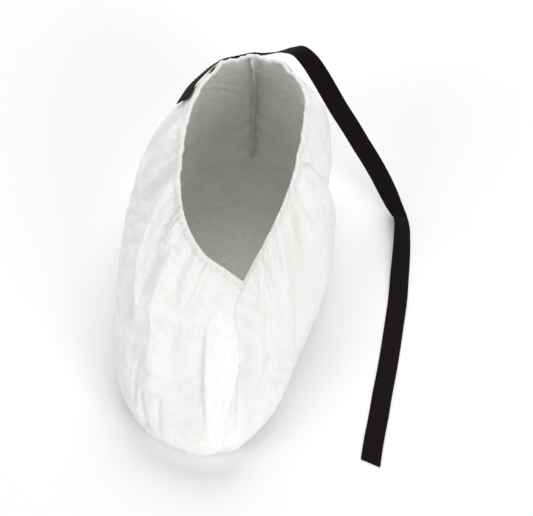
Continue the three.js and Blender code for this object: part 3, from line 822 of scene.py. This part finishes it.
def crease_height(side, at, share):
    """Short sharp creases. Near the opening they run down the wall, as its pleats do."""
    chance = np.random.default_rng(CREASE_SEED + side["sign"])
    u, v = at * GIRTH, height_on_cloth(side, at, share)
    height = np.zeros(u.shape)
    for _ in range(CREASES):
        place_u, place_v = chance.uniform(0, GIRTH), chance.uniform(0.06 * RISE, RISE)
        lean = chance.normal(0, 0.4 + 0.9 * (1 - place_v / RISE))
        half_length, width = chance.uniform(8, 26), chance.uniform(0.7, 1.6)
        depth = chance.uniform(0.15, 0.4) * chance.choice([-1, 1]) * math.cos(lean) ** 2
        bend = chance.normal(0, 0.006)
        du, dv = u - place_u, v - place_v
        lengthwise = du * math.sin(lean) + dv * math.cos(lean)
        sideways = du * math.cos(lean) - dv * math.sin(lean) + bend * lengthwise**2
        near = (np.abs(lengthwise) < half_length) & (np.abs(sideways) < 9 * width)
        away = np.sqrt(sideways[near] ** 2 + 0.12)
        taper = (1 - (lengthwise[near] / half_length) ** 2) ** 2
        lip = np.where(sideways[near] > 0, 1.0, 0.45)  # one flank of a crease lies flatter
        height[near] += depth * taper * np.exp(-away / (width * 1.6 * lip))
    return height * smoothstep(share, 0.03, 0.2)


# %% [markdown]
# Behind the toe seam the panels' cut edges leave more cloth than the toe needs. It lies pressed flat
# under the wall beside the seam, as a long patch. The wall stands a little higher over it, and has a painted
# highlight.

# %% The spare cloth that lies under the toe
SPARE_CLOTH = np.array([  # share, and the patch's two edges: at on the inner wall, less than 0 on the outer
    (0.2, -0.015, 0.07), (0.3, -0.03, 0.095), (0.45, -0.052, 0.1), (0.6, -0.082, 0.06),
    (0.7, -0.1, 0.03), (0.8, -0.112, 0.0), (0.92, -0.07, -0.02),
])
SPARE_RISE = 0.9


def spare_cloth_and_highlight(side, at, share):
    """1 where the toe seam's spare cloth lies pressed flat under the wall and gets a painted highlight, and 0
    elsewhere.
    """
    within = np.clip(share, SPARE_CLOTH[0, 0], SPARE_CLOTH[-1, 0])
    first, last = (smooth_curve(SPARE_CLOTH[:, 0], SPARE_CLOTH[:, k], within) for k in (1, 2))
    place = at * side["sign"]
    ends = smoothstep(share, 0.22, 0.4) * (1 - smoothstep(share, 0.8, 0.92))
    return smoothstep(place - first, -0.004, 0.01) * smoothstep(last - place, -0.012, 0.018) * ends


# %% The puckers beside a seam
TIP_SHARE, TIP_SPREAD = 0.2, 0.125  # where the toe's tip lies on its seam
SEAM_LINE = np.array([  # a seam over the toe isn't quite straight: share, and how far aside it lies there
    (0, 0), (0.3, 0.6), (0.4, 1.0), (0.5, 1.6), (0.6, 3.6), (0.7, 5.4), (0.8, 2.2), (0.9, -2.4),
    (0.97, -0.4), (1, 0),
])


def pucker_height(side, at, share):
    """Thread draws a seam shorter than its cloth, so the cloth puckers across it and the seam sinks
    between the puckers. At the toe's tip it sinks most, and the inner panel is drawn in with it."""
    beside = np.minimum(at, 1 - at) * GIRTH
    s = share * RISE
    rhythm = np.cos(2 * math.pi * (s / 6.8 + 0.4 * np.sin(s / 9.0)))
    size = 0.25 + 0.15 * np.sin(s / 13 + 1) + 0.5 * smoothstep(share, 0.76, 0.9)
    pucker = size * rhythm * np.exp(-beside / 4.5)
    groove = (0.24 + 0.12 * np.sin(s / 7.3)) * bell(beside, 1.9)
    at_tip = bell(share - TIP_SHARE, TIP_SPREAD) * (at < 0.5)
    drawn_in = 4.0 * bell(beside, 14 if side["sign"] > 0 else 9)
    notch = 1.8 * bell(beside, 1.6)
    height = pucker - groove - at_tip * (drawn_in + notch) + SPARE_RISE * spare_cloth_and_highlight(side, at, share)
    return height * smoothstep(share, 0.0, 0.1)


def seam_bow(at, share):
    return smooth_curve(SEAM_LINE[:, 0], SEAM_LINE[:, 1], share) * bell(at * GIRTH, 24)


print("folds:", {name: len(rows) for name, rows in FOLDS.items()})

# %% [markdown]
# ## The side panels, as drawn
# Each panel is one sheet of cloth: a net over the whole wall, pushed in and out by the folds. Its
# columns lie closer together near the seams, where the detail is.

# %% Lay out the walls
HEM_HEIGHT, HEM_CLEARANCE = 5.5, 1.0
TUCK = 2.5  # how far a panel reaches up into the hem's casing


def panel_places(side, columns, rows):
    t = np.linspace(0, 1, columns + 1)
    at = t - 0.4 * np.sin(2 * math.pi * t) / (2 * math.pi)
    top = share_below_edge(side, at, HEM_HEIGHT + HEM_CLEARANCE - TUCK)
    share = top[:, None] * np.linspace(0, 1, rows + 1)[None]
    return np.broadcast_to(at[:, None], share.shape), share


def drawn_wall(side, at, share, relief):
    """A wall's net with its folds, and the directions out of it."""
    smooth, normals = wall_frames(side, at, share)
    fold_height, fold_lean = folded(side, at, share)
    height = relief + fold_height + gather_height(side, at, share)
    net = smooth + normals * height[..., None]
    net += unit(np.gradient(smooth, axis=0)) * fold_lean[..., None]
    net[..., 0] += seam_bow(at, share)
    return net, normals


# %% [markdown]
# ## Letting the cloth settle
# A drawn wall is too tidy. Real nonwoven is a little larger than the form that holds it, so it buckles
# into small creases. Blender's cloth simulation finds them: every thread is made about 1% longer than
# the drawn wall gives it, and up to 4% beside the hem and the seams and low on the wall, while the hem,
# the seams and the sole's edge are held. It is stiff cloth, with no gravity, and a weak pull keeps it
# near its place. The simulation runs on a coarse net, and only each point's move is kept, so the result
# can be laid over a finer net, and no simulation stays on the piece.

# %% Simulate a net of cloth
SPARE_LENGTH, MOST_SPARE_LENGTH = 0.013, 0.038  # how much longer the threads are, as a part
SETTLE_FRAMES = 12
MOST_MOVE = 3.0  # no point moves further
LEAST_HOLD = 0.2  # the weak pull on all the cloth
CLOTH_SETTINGS = {
    "quality": 6, "mass": 0.15, "tension_stiffness": 20, "compression_stiffness": 20, "shear_stiffness": 8,
    "bending_stiffness": 9, "tension_damping": 8, "compression_damping": 8, "shear_damping": 8,
    "air_damping": 4, "pin_stiffness": 1,
}


def hold_group(piece, name, weights):
    group = piece.vertex_groups.new(name=name)
    weights = np.round(weights.reshape(-1), 2)
    for weight in np.unique(weights):
        group.add(np.flatnonzero(weights == weight).tolist(), float(weight), "REPLACE")


def settle(net, held, fullness):
    """How far each point of a net, closed round the cover, moves when the cloth settles. held is 1
    where it is held fast, and fullness is 1 where the cloth has most spare length."""
    trial = sheet_object("trial", net, np.zeros((*net.shape[:2], 2)), wrap_along=True)
    hold_group(trial, "held", np.maximum(held, LEAST_HOLD))
    hold_group(trial, "fullness", fullness)
    cloth = trial.modifiers.new("cloth", "CLOTH")
    cloth.point_cache.frame_start, cloth.point_cache.frame_end = 1, SETTLE_FRAMES
    cloth.collision_settings.use_collision = False
    for title, value in CLOTH_SETTINGS.items():
        setattr(cloth.settings, title, value)
    cloth.settings.effector_weights.gravity = 0
    cloth.settings.vertex_group_mass = "held"
    cloth.settings.vertex_group_shrink = "fullness"
    cloth.settings.shrink_min, cloth.settings.shrink_max = -SPARE_LENGTH, -MOST_SPARE_LENGTH
    for frame_number in range(1, SETTLE_FRAMES + 1):
        bpy.context.scene.frame_set(frame_number)
    settled = trial.evaluated_get(bpy.context.evaluated_depsgraph_get())
    points = np.empty(net.size)
    settled.data.vertices.foreach_get("co", points)
    move = points.reshape(net.shape) / MM - net
    bpy.data.objects.remove(trial)
    bpy.context.scene.frame_set(1)
    far = np.linalg.norm(move, axis=-1, keepdims=True)
    print(f"settled cloth moves {far.mean():.2f} mm on average and {far.max():.2f} at most")
    return move * np.minimum(1, MOST_MOVE / np.maximum(far, 1e-9))


def finer(values, count, axis):
    """Values along one axis of a net, laid over count points by a smooth curve through them."""
    last = values.shape[axis] - 1
    place = np.linspace(0, last, count)
    k = np.minimum(place.astype(int), last - 1)
    t = (place - k).reshape([-1 if d == axis else 1 for d in range(values.ndim)])
    a, b, c, d = (np.take(values, np.clip(k + step, 0, last), axis) for step in (-1, 0, 1, 2))
    return b + 0.5 * t * (c - a + t * (2 * a - 5 * b + 4 * c - d + t * (3 * (b - c) + d - a)))


# %% Settle both walls as one sheet
TRIAL_COLUMNS, TRIAL_ROWS = 150, 84
TRIAL_CREASES = 0.6  # the simulation starts with shallower creases
drawn = {}
for side in (OUTER, INNER):
    at, share = panel_places(side, TRIAL_COLUMNS, TRIAL_ROWS)
    drawn[side["name"]], _ = drawn_wall(side, at, share, TRIAL_CREASES * crease_height(side, at, share))
round_the_cover = np.concatenate([drawn["outer"][:-1], drawn["inner"][:0:-1]])[::-1]
ring_at = np.concatenate([at[:-1], at[:0:-1]])[::-1]
up_the_wall = np.broadcast_to(np.linspace(0, 1, TRIAL_ROWS + 1), ring_at.shape)
near_seam = np.exp(-np.minimum(ring_at, 1 - ring_at) * GIRTH / 10)
held = np.maximum(smoothstep(up_the_wall, 0.955, 0.995), 1 - smoothstep(up_the_wall, 0.04, 0.11))
held = np.maximum(held, smoothstep(near_seam, 0.85, 0.99))
fullness = np.maximum(smoothstep(up_the_wall, 0.6, 0.95), 1 - smoothstep(up_the_wall, 0.12, 0.4))
fullness = np.maximum(fullness, near_seam * 0.7)
move = settle(round_the_cover, held, fullness)[::-1]
settled_move = {
    "outer": move[:TRIAL_COLUMNS + 1],
    "inner": np.concatenate([move[:1], move[:TRIAL_COLUMNS - 1:-1]]),
}
print({name: moves.shape for name, moves in settled_move.items()})

# %% [markdown]
# ## The side panels, as sewn
# The finished panel is a finer net with its folds, its sharp creases and the settled cloth's moves. At
# the toe and the heel its edges turn inward, as sewn edges do. The net is one layer, and a Solidify
# modifier gives it the thickness of real nonwoven, inward, so that the outside keeps its place.

# %% Make a side panel
SEAM_SPACE = 0.06  # from a seam's middle to the cloth beside it
TURNED_EDGE = ((0.45, 0.08), (1.1, 0.3), (2.6, 0.5))  # how far in, and how far aside


def side_panel(side, columns=280, rows=140):
    at, share = panel_places(side, columns, rows)
    relief = crease_height(side, at, share) + pucker_height(side, at, share)
    net, normals = drawn_wall(side, at, share, relief)
    net += finer(finer(settled_move[side["name"]], columns + 1, 0), rows + 1, 1)
    net[..., 0] += side["sign"] * SEAM_SPACE * bell(np.minimum(at, 1 - at) * GIRTH, 8)
    net[..., 2] = np.maximum(net[..., 2], 0.0)
    flat = np.stack([at * GIRTH, height_on_cloth(side, at, share)], -1)
    # where the spare cloth lies, which is also where the cloth gets a painted highlight
    highlight_weight = spare_cloth_and_highlight(side, at, share)
    aside = np.array([side["sign"], 0, 0])
    ends = []
    for end, step in ((0, -1), (-1, 1)):
        turned = [net[end] - normals[end] * depth + aside * shift for depth, shift in TURNED_EDGE]
        turned_flat = [flat[end] + [step * depth, 0] for depth, _ in TURNED_EDGE]
        ends.append((turned[::step], turned_flat[::step], [highlight_weight[end]] * len(turned)))
    net, flat, highlight_weight = (np.concatenate(parts) for parts in zip(ends[0], (net, flat, highlight_weight), ends[1]))
    if side["sign"] < 0:
        net, flat, highlight_weight = net[::-1], flat[::-1], highlight_weight[::-1]
    piece = sheet_object(f"{side['name']}_side_cloth", net, flat)
    # the attribute that tells the finish where to paint the highlight
    highlight_patch = piece.data.attributes.new("spare_cloth_and_highlight", "FLOAT", "POINT")
    highlight_patch.data.foreach_set("value", highlight_weight.reshape(-1))
    thicken(piece)
    bpy.ops.object.shade_smooth_by_angle(angle=math.radians(60))
    return piece


outer_cloth = side_panel(OUTER)
inner_cloth = side_panel(INNER)
for cloth, node in ((outer_cloth, "outer_side_panel"), (inner_cloth, "inner_side_panel")):
    finish_piece(cloth, NONWOVEN, "nonwoven_cloth", node)

# %% [markdown]
# ## The sole panel
# The sole is a long oval of the same cloth. It lies flat on the floor and is hardly seen, but the
# opening shows its inside, so it gets the soft crumples of cloth that nothing stretches. Its net runs
# from one side wall's lower edge to the other's.

# %% Lay out the sole
SOLE_GAP = 0.1
SOLE_CREASES, SOLE_SEED = 70, 5


def sole_panel(rows=150, columns=64):
    t = (1 - np.cos(np.linspace(0.03, math.pi - 0.03, rows + 1))) / 2
    outer_line, inner_line = (smooth_wall(side, t, np.zeros_like(t)) for side in (OUTER, INNER))
    over = np.linspace(0, 1, columns + 1)[None, :, None]
    net = outer_line[:, None] * (1 - over) + inner_line[:, None] * over
    net *= (1 - SOLE_GAP / np.maximum(np.linalg.norm(net, axis=-1, keepdims=True), 20))
    chance = np.random.default_rng(SOLE_SEED)
    x, y = net[..., 0], net[..., 1]
    relief = np.zeros(x.shape)
    for _ in range(SOLE_CREASES):
        turn = chance.uniform(0, math.pi)
        du, dv = x - chance.uniform(-60, 60), y - chance.uniform(-130, 130)
        lengthwise = du * math.cos(turn) + dv * math.sin(turn)
        sideways = du * math.sin(turn) - dv * math.cos(turn)
        half_length, width = chance.uniform(12, 40), chance.uniform(1.5, 4)
        taper = np.clip(1 - (lengthwise / half_length) ** 2, 0, 1) ** 2
        relief += chance.uniform(0.2, 0.6) * taper * np.exp(-np.sqrt(sideways**2 + 0.3) / width)
    from_edge = np.minimum(over[..., 0], 1 - over[..., 0]) * np.abs(net[:, -1:, 0] - net[:, :1, 0])
    net[..., 2] = np.clip(relief, 0, 1.6) * smoothstep(from_edge, 1, 12)
    piece = sheet_object("sole_cloth", net, np.stack([x, y], -1))
    thicken(piece)
    return piece


sole_cloth = sole_panel()
finish_piece(sole_cloth, SOLE_CLOTH, "nonwoven_cloth", "sole_panel")

# %% [markdown]
# ## The elastic hem
# The hem is a casing: cloth folded over a band of elastic and sewn down. Stretched when it was sewn and
# then let go, the elastic crams the casing's cloth into close little ruffles. It is a rounded flat
# section swept round the opening. The ruffles are added along the sweep, with narrow valleys between
# round crests, and a sewn line runs along its lower third.

# %% Sweep the casing round the opening
HEM_THICKNESS = 2.6
RUFFLES, RUFFLE_DEPTH, RUFFLE_LEAN = 62, 0.42, 0.35  # each is a wave with two crests
HEM_EASING = 6  # how often each place is averaged with its neighbours, to ease the mesh's small steps
CASING_STEP, CASING_ROUND = 0.9, 14  # on the flat cloth: one step of the sweep, and once round the section
SEWN_AT = -0.22  # where the sewn line runs, as a part of the casing's height from its middle


def hem_frames(side, at):
    """The casing's lower edge, its upper edge, and the way out of it."""
    start = share_below_edge(side, at, HEM_HEIGHT)
    share = np.stack([start, (start + 1) / 2, np.ones_like(start)], -1)
    places = np.broadcast_to(at[:, None], share.shape)
    smooth, normals = wall_frames(side, places, share)
    relief = folded(side, places, share)[0] + gather_height(side, places, share)
    net = smooth + normals * relief[..., None]
    return net[:, 0], net[:, 2], normals[:, 0]


def opening_hem(steps=430, section_steps=20):
    at = np.linspace(0, 1, steps + 1)
    outer, inner = hem_frames(OUTER, at), hem_frames(INNER, at)
    lower, upper, out = (np.concatenate([a[:-1], b[:0:-1]]) for a, b in zip(outer, inner))
    ring = np.arange(len(lower))
    for _ in range(HEM_EASING):
        lower, upper, out = ((np.roll(v, 1, 0) + 2 * v + np.roll(v, -1, 0)) / 4 for v in (lower, upper, out))
    out = unit(out)
    middle = (lower + upper) / 2 - out * 0.3
    rise = upper - lower
    turn = 2 * math.pi * ring / len(ring)
    phase = RUFFLES * turn + 1.2 * np.sin(7 * turn + 0.6) + 0.7 * np.sin(19 * turn)
    size = 0.65 + 0.35 * np.sin(11 * turn + 1) * np.sin(5 * turn)
    crest = ((np.abs(np.sin(phase)) - 0.55) * size)[:, None]
    lean = (0.5 * np.sin(phase * 0.5 + 2 * np.sin(3 * turn)) * size)[:, None]
    angle = np.linspace(0, 2 * math.pi, section_steps, endpoint=False)
    high, thick = (np.sign(w) * np.abs(w) ** 0.75 * 0.5 for w in (np.cos(angle), np.sin(angle)))
    sewn = bell(high - SEWN_AT, 0.07)
    upper_part = smoothstep(high, -0.1, 0.5)
    lift = rise[:, None] * (high * (1 + 0.1 * crest * upper_part))[..., None]
    push = thick * HEM_THICKNESS * (1 - 0.3 * sewn) + RUFFLE_DEPTH * crest * np.sign(thick)
    push = push + RUFFLE_LEAN * lean * (0.4 + upper_part)
    net = middle[:, None] + lift + out[:, None] * push[..., None]
    around = angle / (2 * math.pi) * CASING_ROUND
    return tube_object("opening_hem_casing", net, ring * CASING_STEP, around, ring=True), (middle, rise, out)


hem_casing, (hem_middle, hem_rise, hem_out) = opening_hem()
finish_piece(hem_casing, HEM_CLOTH, "elastic_hem", "opening_hem")
print("the opening is", round(float(lengths(hem_middle)[-1])), "mm round")

# %% [markdown]
# ## Thread
# A sewn line is a row of short stitches, each a small arch of thread that dives into the cloth at both
# ends. One stitch is modelled as a bent tube of a few faces, and a row is that tube copied along a line.

# %% One stitch, copied along a line
ARCH_PLACES = np.array([0, 0.12, 0.5, 0.88, 1.0])
ARCH_HEIGHTS = np.array([-0.7, 0.25, 0.55, 0.25, -0.7])  # in thicknesses of the thread
SIDES = 6


def thread_finish(name, colour):
    finish, shader = new_finish(name, {"Roughness": 0.6})
    tree = finish.node_tree
    parts = new_node(tree, "ShaderNodeSeparateXYZ", {0: flat_place(tree)}).outputs
    ply = maths(tree, "MULTIPLY", maths(tree, "ADD", parts["X"], parts["Y"]), 900.0)
    twist = maths(tree, "ABSOLUTE", maths(tree, "SINE", ply))
    # painted shade: the thread is darker in the grooves of its twist, where its bump is low
    deep = [c * 0.75 for c in colour]
    shaded_twist_colour = mix(tree, twist, (*deep, 1), (*colour, 1))
    set_inputs(shader, {"Base Color": shaded_twist_colour, "Normal": bump(tree, twist, 0.05)})
    return finish


WHITE_THREAD = thread_finish("white_thread", (0.88, 0.87, 0.85))
DARK_THREAD = thread_finish("dark_thread", (0.03, 0.026, 0.024))


def stitch_row(places, ups, pitch=3.0, gap=0.8, thread=0.3):
    """A row of stitches along places, standing on the cloth along ups, in millimetres."""
    steps = lengths(places)
    points, faces, flats = [], [], []
    number = np.arange(ARCH_PLACES.size * SIDES).reshape(-1, SIDES)
    beyond = np.roll(number, -1, axis=1)
    quads = np.stack([number[:-1], beyond[:-1], beyond[1:], number[1:]], -1).reshape(-1, 4).tolist()
    stitch = quads + [number[0, ::-1].tolist(), number[-1].tolist()]
    turn = np.arange(SIDES)
    angle = (turn * 2 * math.pi / SIDES)[:, None]
    width = (thread / 2 * np.array([0.75, 1, 1, 1, 0.75]))[:, None, None]
    for start in np.arange(pitch * 0.3, steps[-1] - pitch, pitch):
        reach = start + ARCH_PLACES * (pitch - gap)
        line, up = read_line(places, steps, reach), unit(read_line(ups, steps, reach))
        line += up * (ARCH_HEIGHTS * thread)[:, None]
        beside = unit(np.cross(np.gradient(line, axis=0), up))
        base = len(points) * number.size
        faces += [[base + corner for corner in face] for face in stitch]
        outward = np.cos(angle) * beside[:, None] + np.sin(angle) * up[:, None]
        points.append(line[:, None] + width * outward)
        flats.append(np.stack(np.broadcast_arrays(reach[:, None], turn * thread / 2), -1))
    points, flats = np.reshape(points, (-1, 3)), np.reshape(flats, (-1, 2))
    mesh = bpy.data.meshes.new("stitches")
    mesh.from_pydata((points * MM).tolist(), [], faces)
    place = flats[[corner for face in faces for corner in face]]
    mesh.uv_layers.new(name="cloth").data.foreach_set("uv", (place / UV_UNIT).reshape(-1))
    return add_object("stitches", mesh)


def join_rows(name, rows):
    make_active(rows[0])
    for row in rows:
        row.select_set(True)
    bpy.ops.object.join()
    rows[0].name = rows[0].data.name = name
    finish_faces(rows[0])
    return rows[0]


closed = np.r_[np.arange(len(hem_middle)), 0]
sewn_line = (hem_middle + hem_rise * SEWN_AT)[closed]
outward = hem_out[closed]
sewn_depth = HEM_THICKNESS * 0.36
hem_stitches = join_rows("hem_stitches", [
    stitch_row(sewn_line + outward * sewn_depth, outward, pitch=2.6),
    stitch_row((sewn_line - outward * sewn_depth)[5:-5], -outward[5:-5], pitch=2.6),
])
finish_piece(hem_stitches, WHITE_THREAD, "elastic_hem")

# %% [markdown]
# ## The toe and heel seams
# Where the panels meet, their edges are turned inside and sewn together. From outside only a fine
# double line shows, sunk between the puckers. Inside, the two edges stand up as a narrow fin with a row
# of stitches. Each seam is one strip whose section has both turned edges, swept up the wall.

# %% Sweep a seam up the wall
SEAM_DEPTH = 5.0
SEAM_TOP = HEM_HEIGHT + HEM_CLEARANCE - 1.5  # how far below the elastic edge a seam ends
SEAM_STITCH_DEPTH, SEAM_STITCH_SIDE = 3.2, 0.6
HALF_SEAM = np.array([  # one half of the section: across the seam, and inward from the cloth beside it
    (0.1, 0.12), (0.2, 0.26), (0.26, 0.8), (0.42, 1.6), (0.55, 3.0), (0.55, 5.2), (0.1, 5.3),
])
SEAM_SECTION = np.vstack([
    HALF_SEAM[5::-1] * (-1, 1), [(0, 0.18)], HALF_SEAM, [(0, 4.8)], HALF_SEAM[6:] * (-1, 1),
])


def seam_strip(name, at, steps=170):
    end = 0 if at == 0 else -1
    top = float(share_below_edge(INNER, np.array([at]), SEAM_TOP)[0])
    share = np.linspace(0.005, top, steps + 1)
    near = np.linspace(0, 0.02, 3) if at == 0 else np.linspace(0.98, 1, 3)
    places, shares = np.broadcast_arrays(near[:, None], share[None])
    line, out = (v[end] for v in wall_frames(INNER, places, shares))
    line = line + out * pucker_height(INNER, np.full_like(share, at), share)[:, None]
    line[:, 0] += seam_bow(np.full_like(share, at), share)
    s = share * RISE
    sway = 0.5 * np.sin(s / 8 + at) + 0.3 * np.sin(s / 3.1)
    fin_edge = 0.25 * np.sin(s / 1.1) + 0.2 * np.sin(s / 5)
    across, depth = SEAM_SECTION.T
    inward = depth + (depth > 4) * fin_edge[:, None]
    inward *= (1 - 0.75 * smoothstep(share, top - 0.09, top - 0.01))[:, None]  # trimmed short at the hem
    net = line[:, None] - out[:, None] * inward[..., None]
    net[..., 0] += across + sway[:, None] * (depth / SEAM_DEPTH) ** 2 * 0.8
    net[..., 2] = np.maximum(net[..., 2], 0.2)
    piece = tube_object(name, net, s, lengths(SEAM_SECTION))
    bpy.ops.object.shade_smooth_by_angle(angle=math.radians(50))
    rows = []
    for sign in (-1, 1):
        on_fin = line - out * SEAM_STITCH_DEPTH
        on_fin[:, 0] += sign * SEAM_STITCH_SIDE + sway * (SEAM_STITCH_DEPTH / SEAM_DEPTH) ** 2 * 0.8
        on_fin = on_fin[6:-22]
        rows.append(stitch_row(on_fin, np.tile([sign, 0.0, 0.0], (len(on_fin), 1)), pitch=3.2))
    return piece, join_rows(name + "_stitches", rows)


for name, node, at in (("toe_seam", "front_seam", 0.0), ("heel_seam", "back_seam", 1.0)):
    strip, stitches = seam_strip(name, at)
    finish_piece(strip, SEAM_CLOTH, "seam_cloth", node)
    finish_piece(stitches, WHITE_THREAD, "seam_cloth")

# %% [markdown]
# ## The sewn ribbon
# Before it comes free, the ribbon is sewn flat round the back of the heel, over the crests of the
# gathers. It uses the same tape section as the tail, swept along the wall, and dark thread holds it
# along both edges and across its end.

# %% Sew the ribbon round the heel
ANCHOR_DROP = 12.0  # from the elastic edge down to the ribbon's middle
ANCHOR_FROM = 0.8
EDGE_STITCHES, TACK_REACH = 4.9, 4.6  # from the ribbon's middle
RIBBON_THREAD = 0.35


def anchor_frames(steps=90):
    at = np.linspace(ANCHOR_FROM, 1, steps + 1)
    shares = share_below_edge(OUTER, at, ANCHOR_DROP)[:, None] + np.array([-0.01, 0, 0.01])
    smooth, normals = wall_frames(OUTER, np.broadcast_to(at[:, None], shares.shape), shares)
    out = normals[:, 1]
    up = smooth[:, 2] - smooth[:, 0]
    across = unit(up - out * np.sum(up * out, axis=1, keepdims=True))
    lift = GATHER_DEPTH + 0.55 + 0.18 * np.cos(2 * math.pi * GATHERS * at)
    line = smooth[:, 1] + out * lift[:, None]
    blend = smoothstep(at, 0.96, 1)[:, None]
    line = line * (1 - blend) + (smooth[:, 1] + out * 2.2) * blend
    return line, across, out


anchor_line, anchor_across, anchor_out = anchor_frames()
# its last step reaches a little way inside the tail's first one, so that the two are one tape
anchor_line = np.vstack([anchor_line, tail_line[1:2]])
anchor_across = np.vstack([anchor_across, tail_across[1:2] * 0.97])
anchor_out = np.vstack([anchor_out, anchor_out[-1:] * 0.9])
anchor_along = lengths(anchor_line)
ribbon_anchor = tape_object("sewn_ribbon", anchor_line, anchor_along, anchor_across, anchor_out)
finish_piece(ribbon_anchor, BLACK_RIBBON, "conductive_ribbon", "ribbon_anchor")

face = RIBBON_THICKNESS / 2
rows = []
for aside in (-EDGE_STITCHES, EDGE_STITCHES):
    edge_line = anchor_line + anchor_across * aside + anchor_out * face
    rows.append(stitch_row(edge_line, anchor_out, thread=RIBBON_THREAD))
over = np.linspace(-TACK_REACH, TACK_REACH, 12)[:, None]
for k in (3, -4):
    tack_line = anchor_line[k] + over * anchor_across[k] + anchor_out[k] * face
    rows.append(stitch_row(tack_line, np.tile(anchor_out[k], (12, 1)), pitch=2.2, thread=RIBBON_THREAD))
ribbon_stitches = join_rows("ribbon_stitches", rows)
finish_piece(ribbon_stitches, DARK_THREAD, "conductive_ribbon")
print(f"the sewn ribbon is {anchor_along[-1]:.0f} mm long")
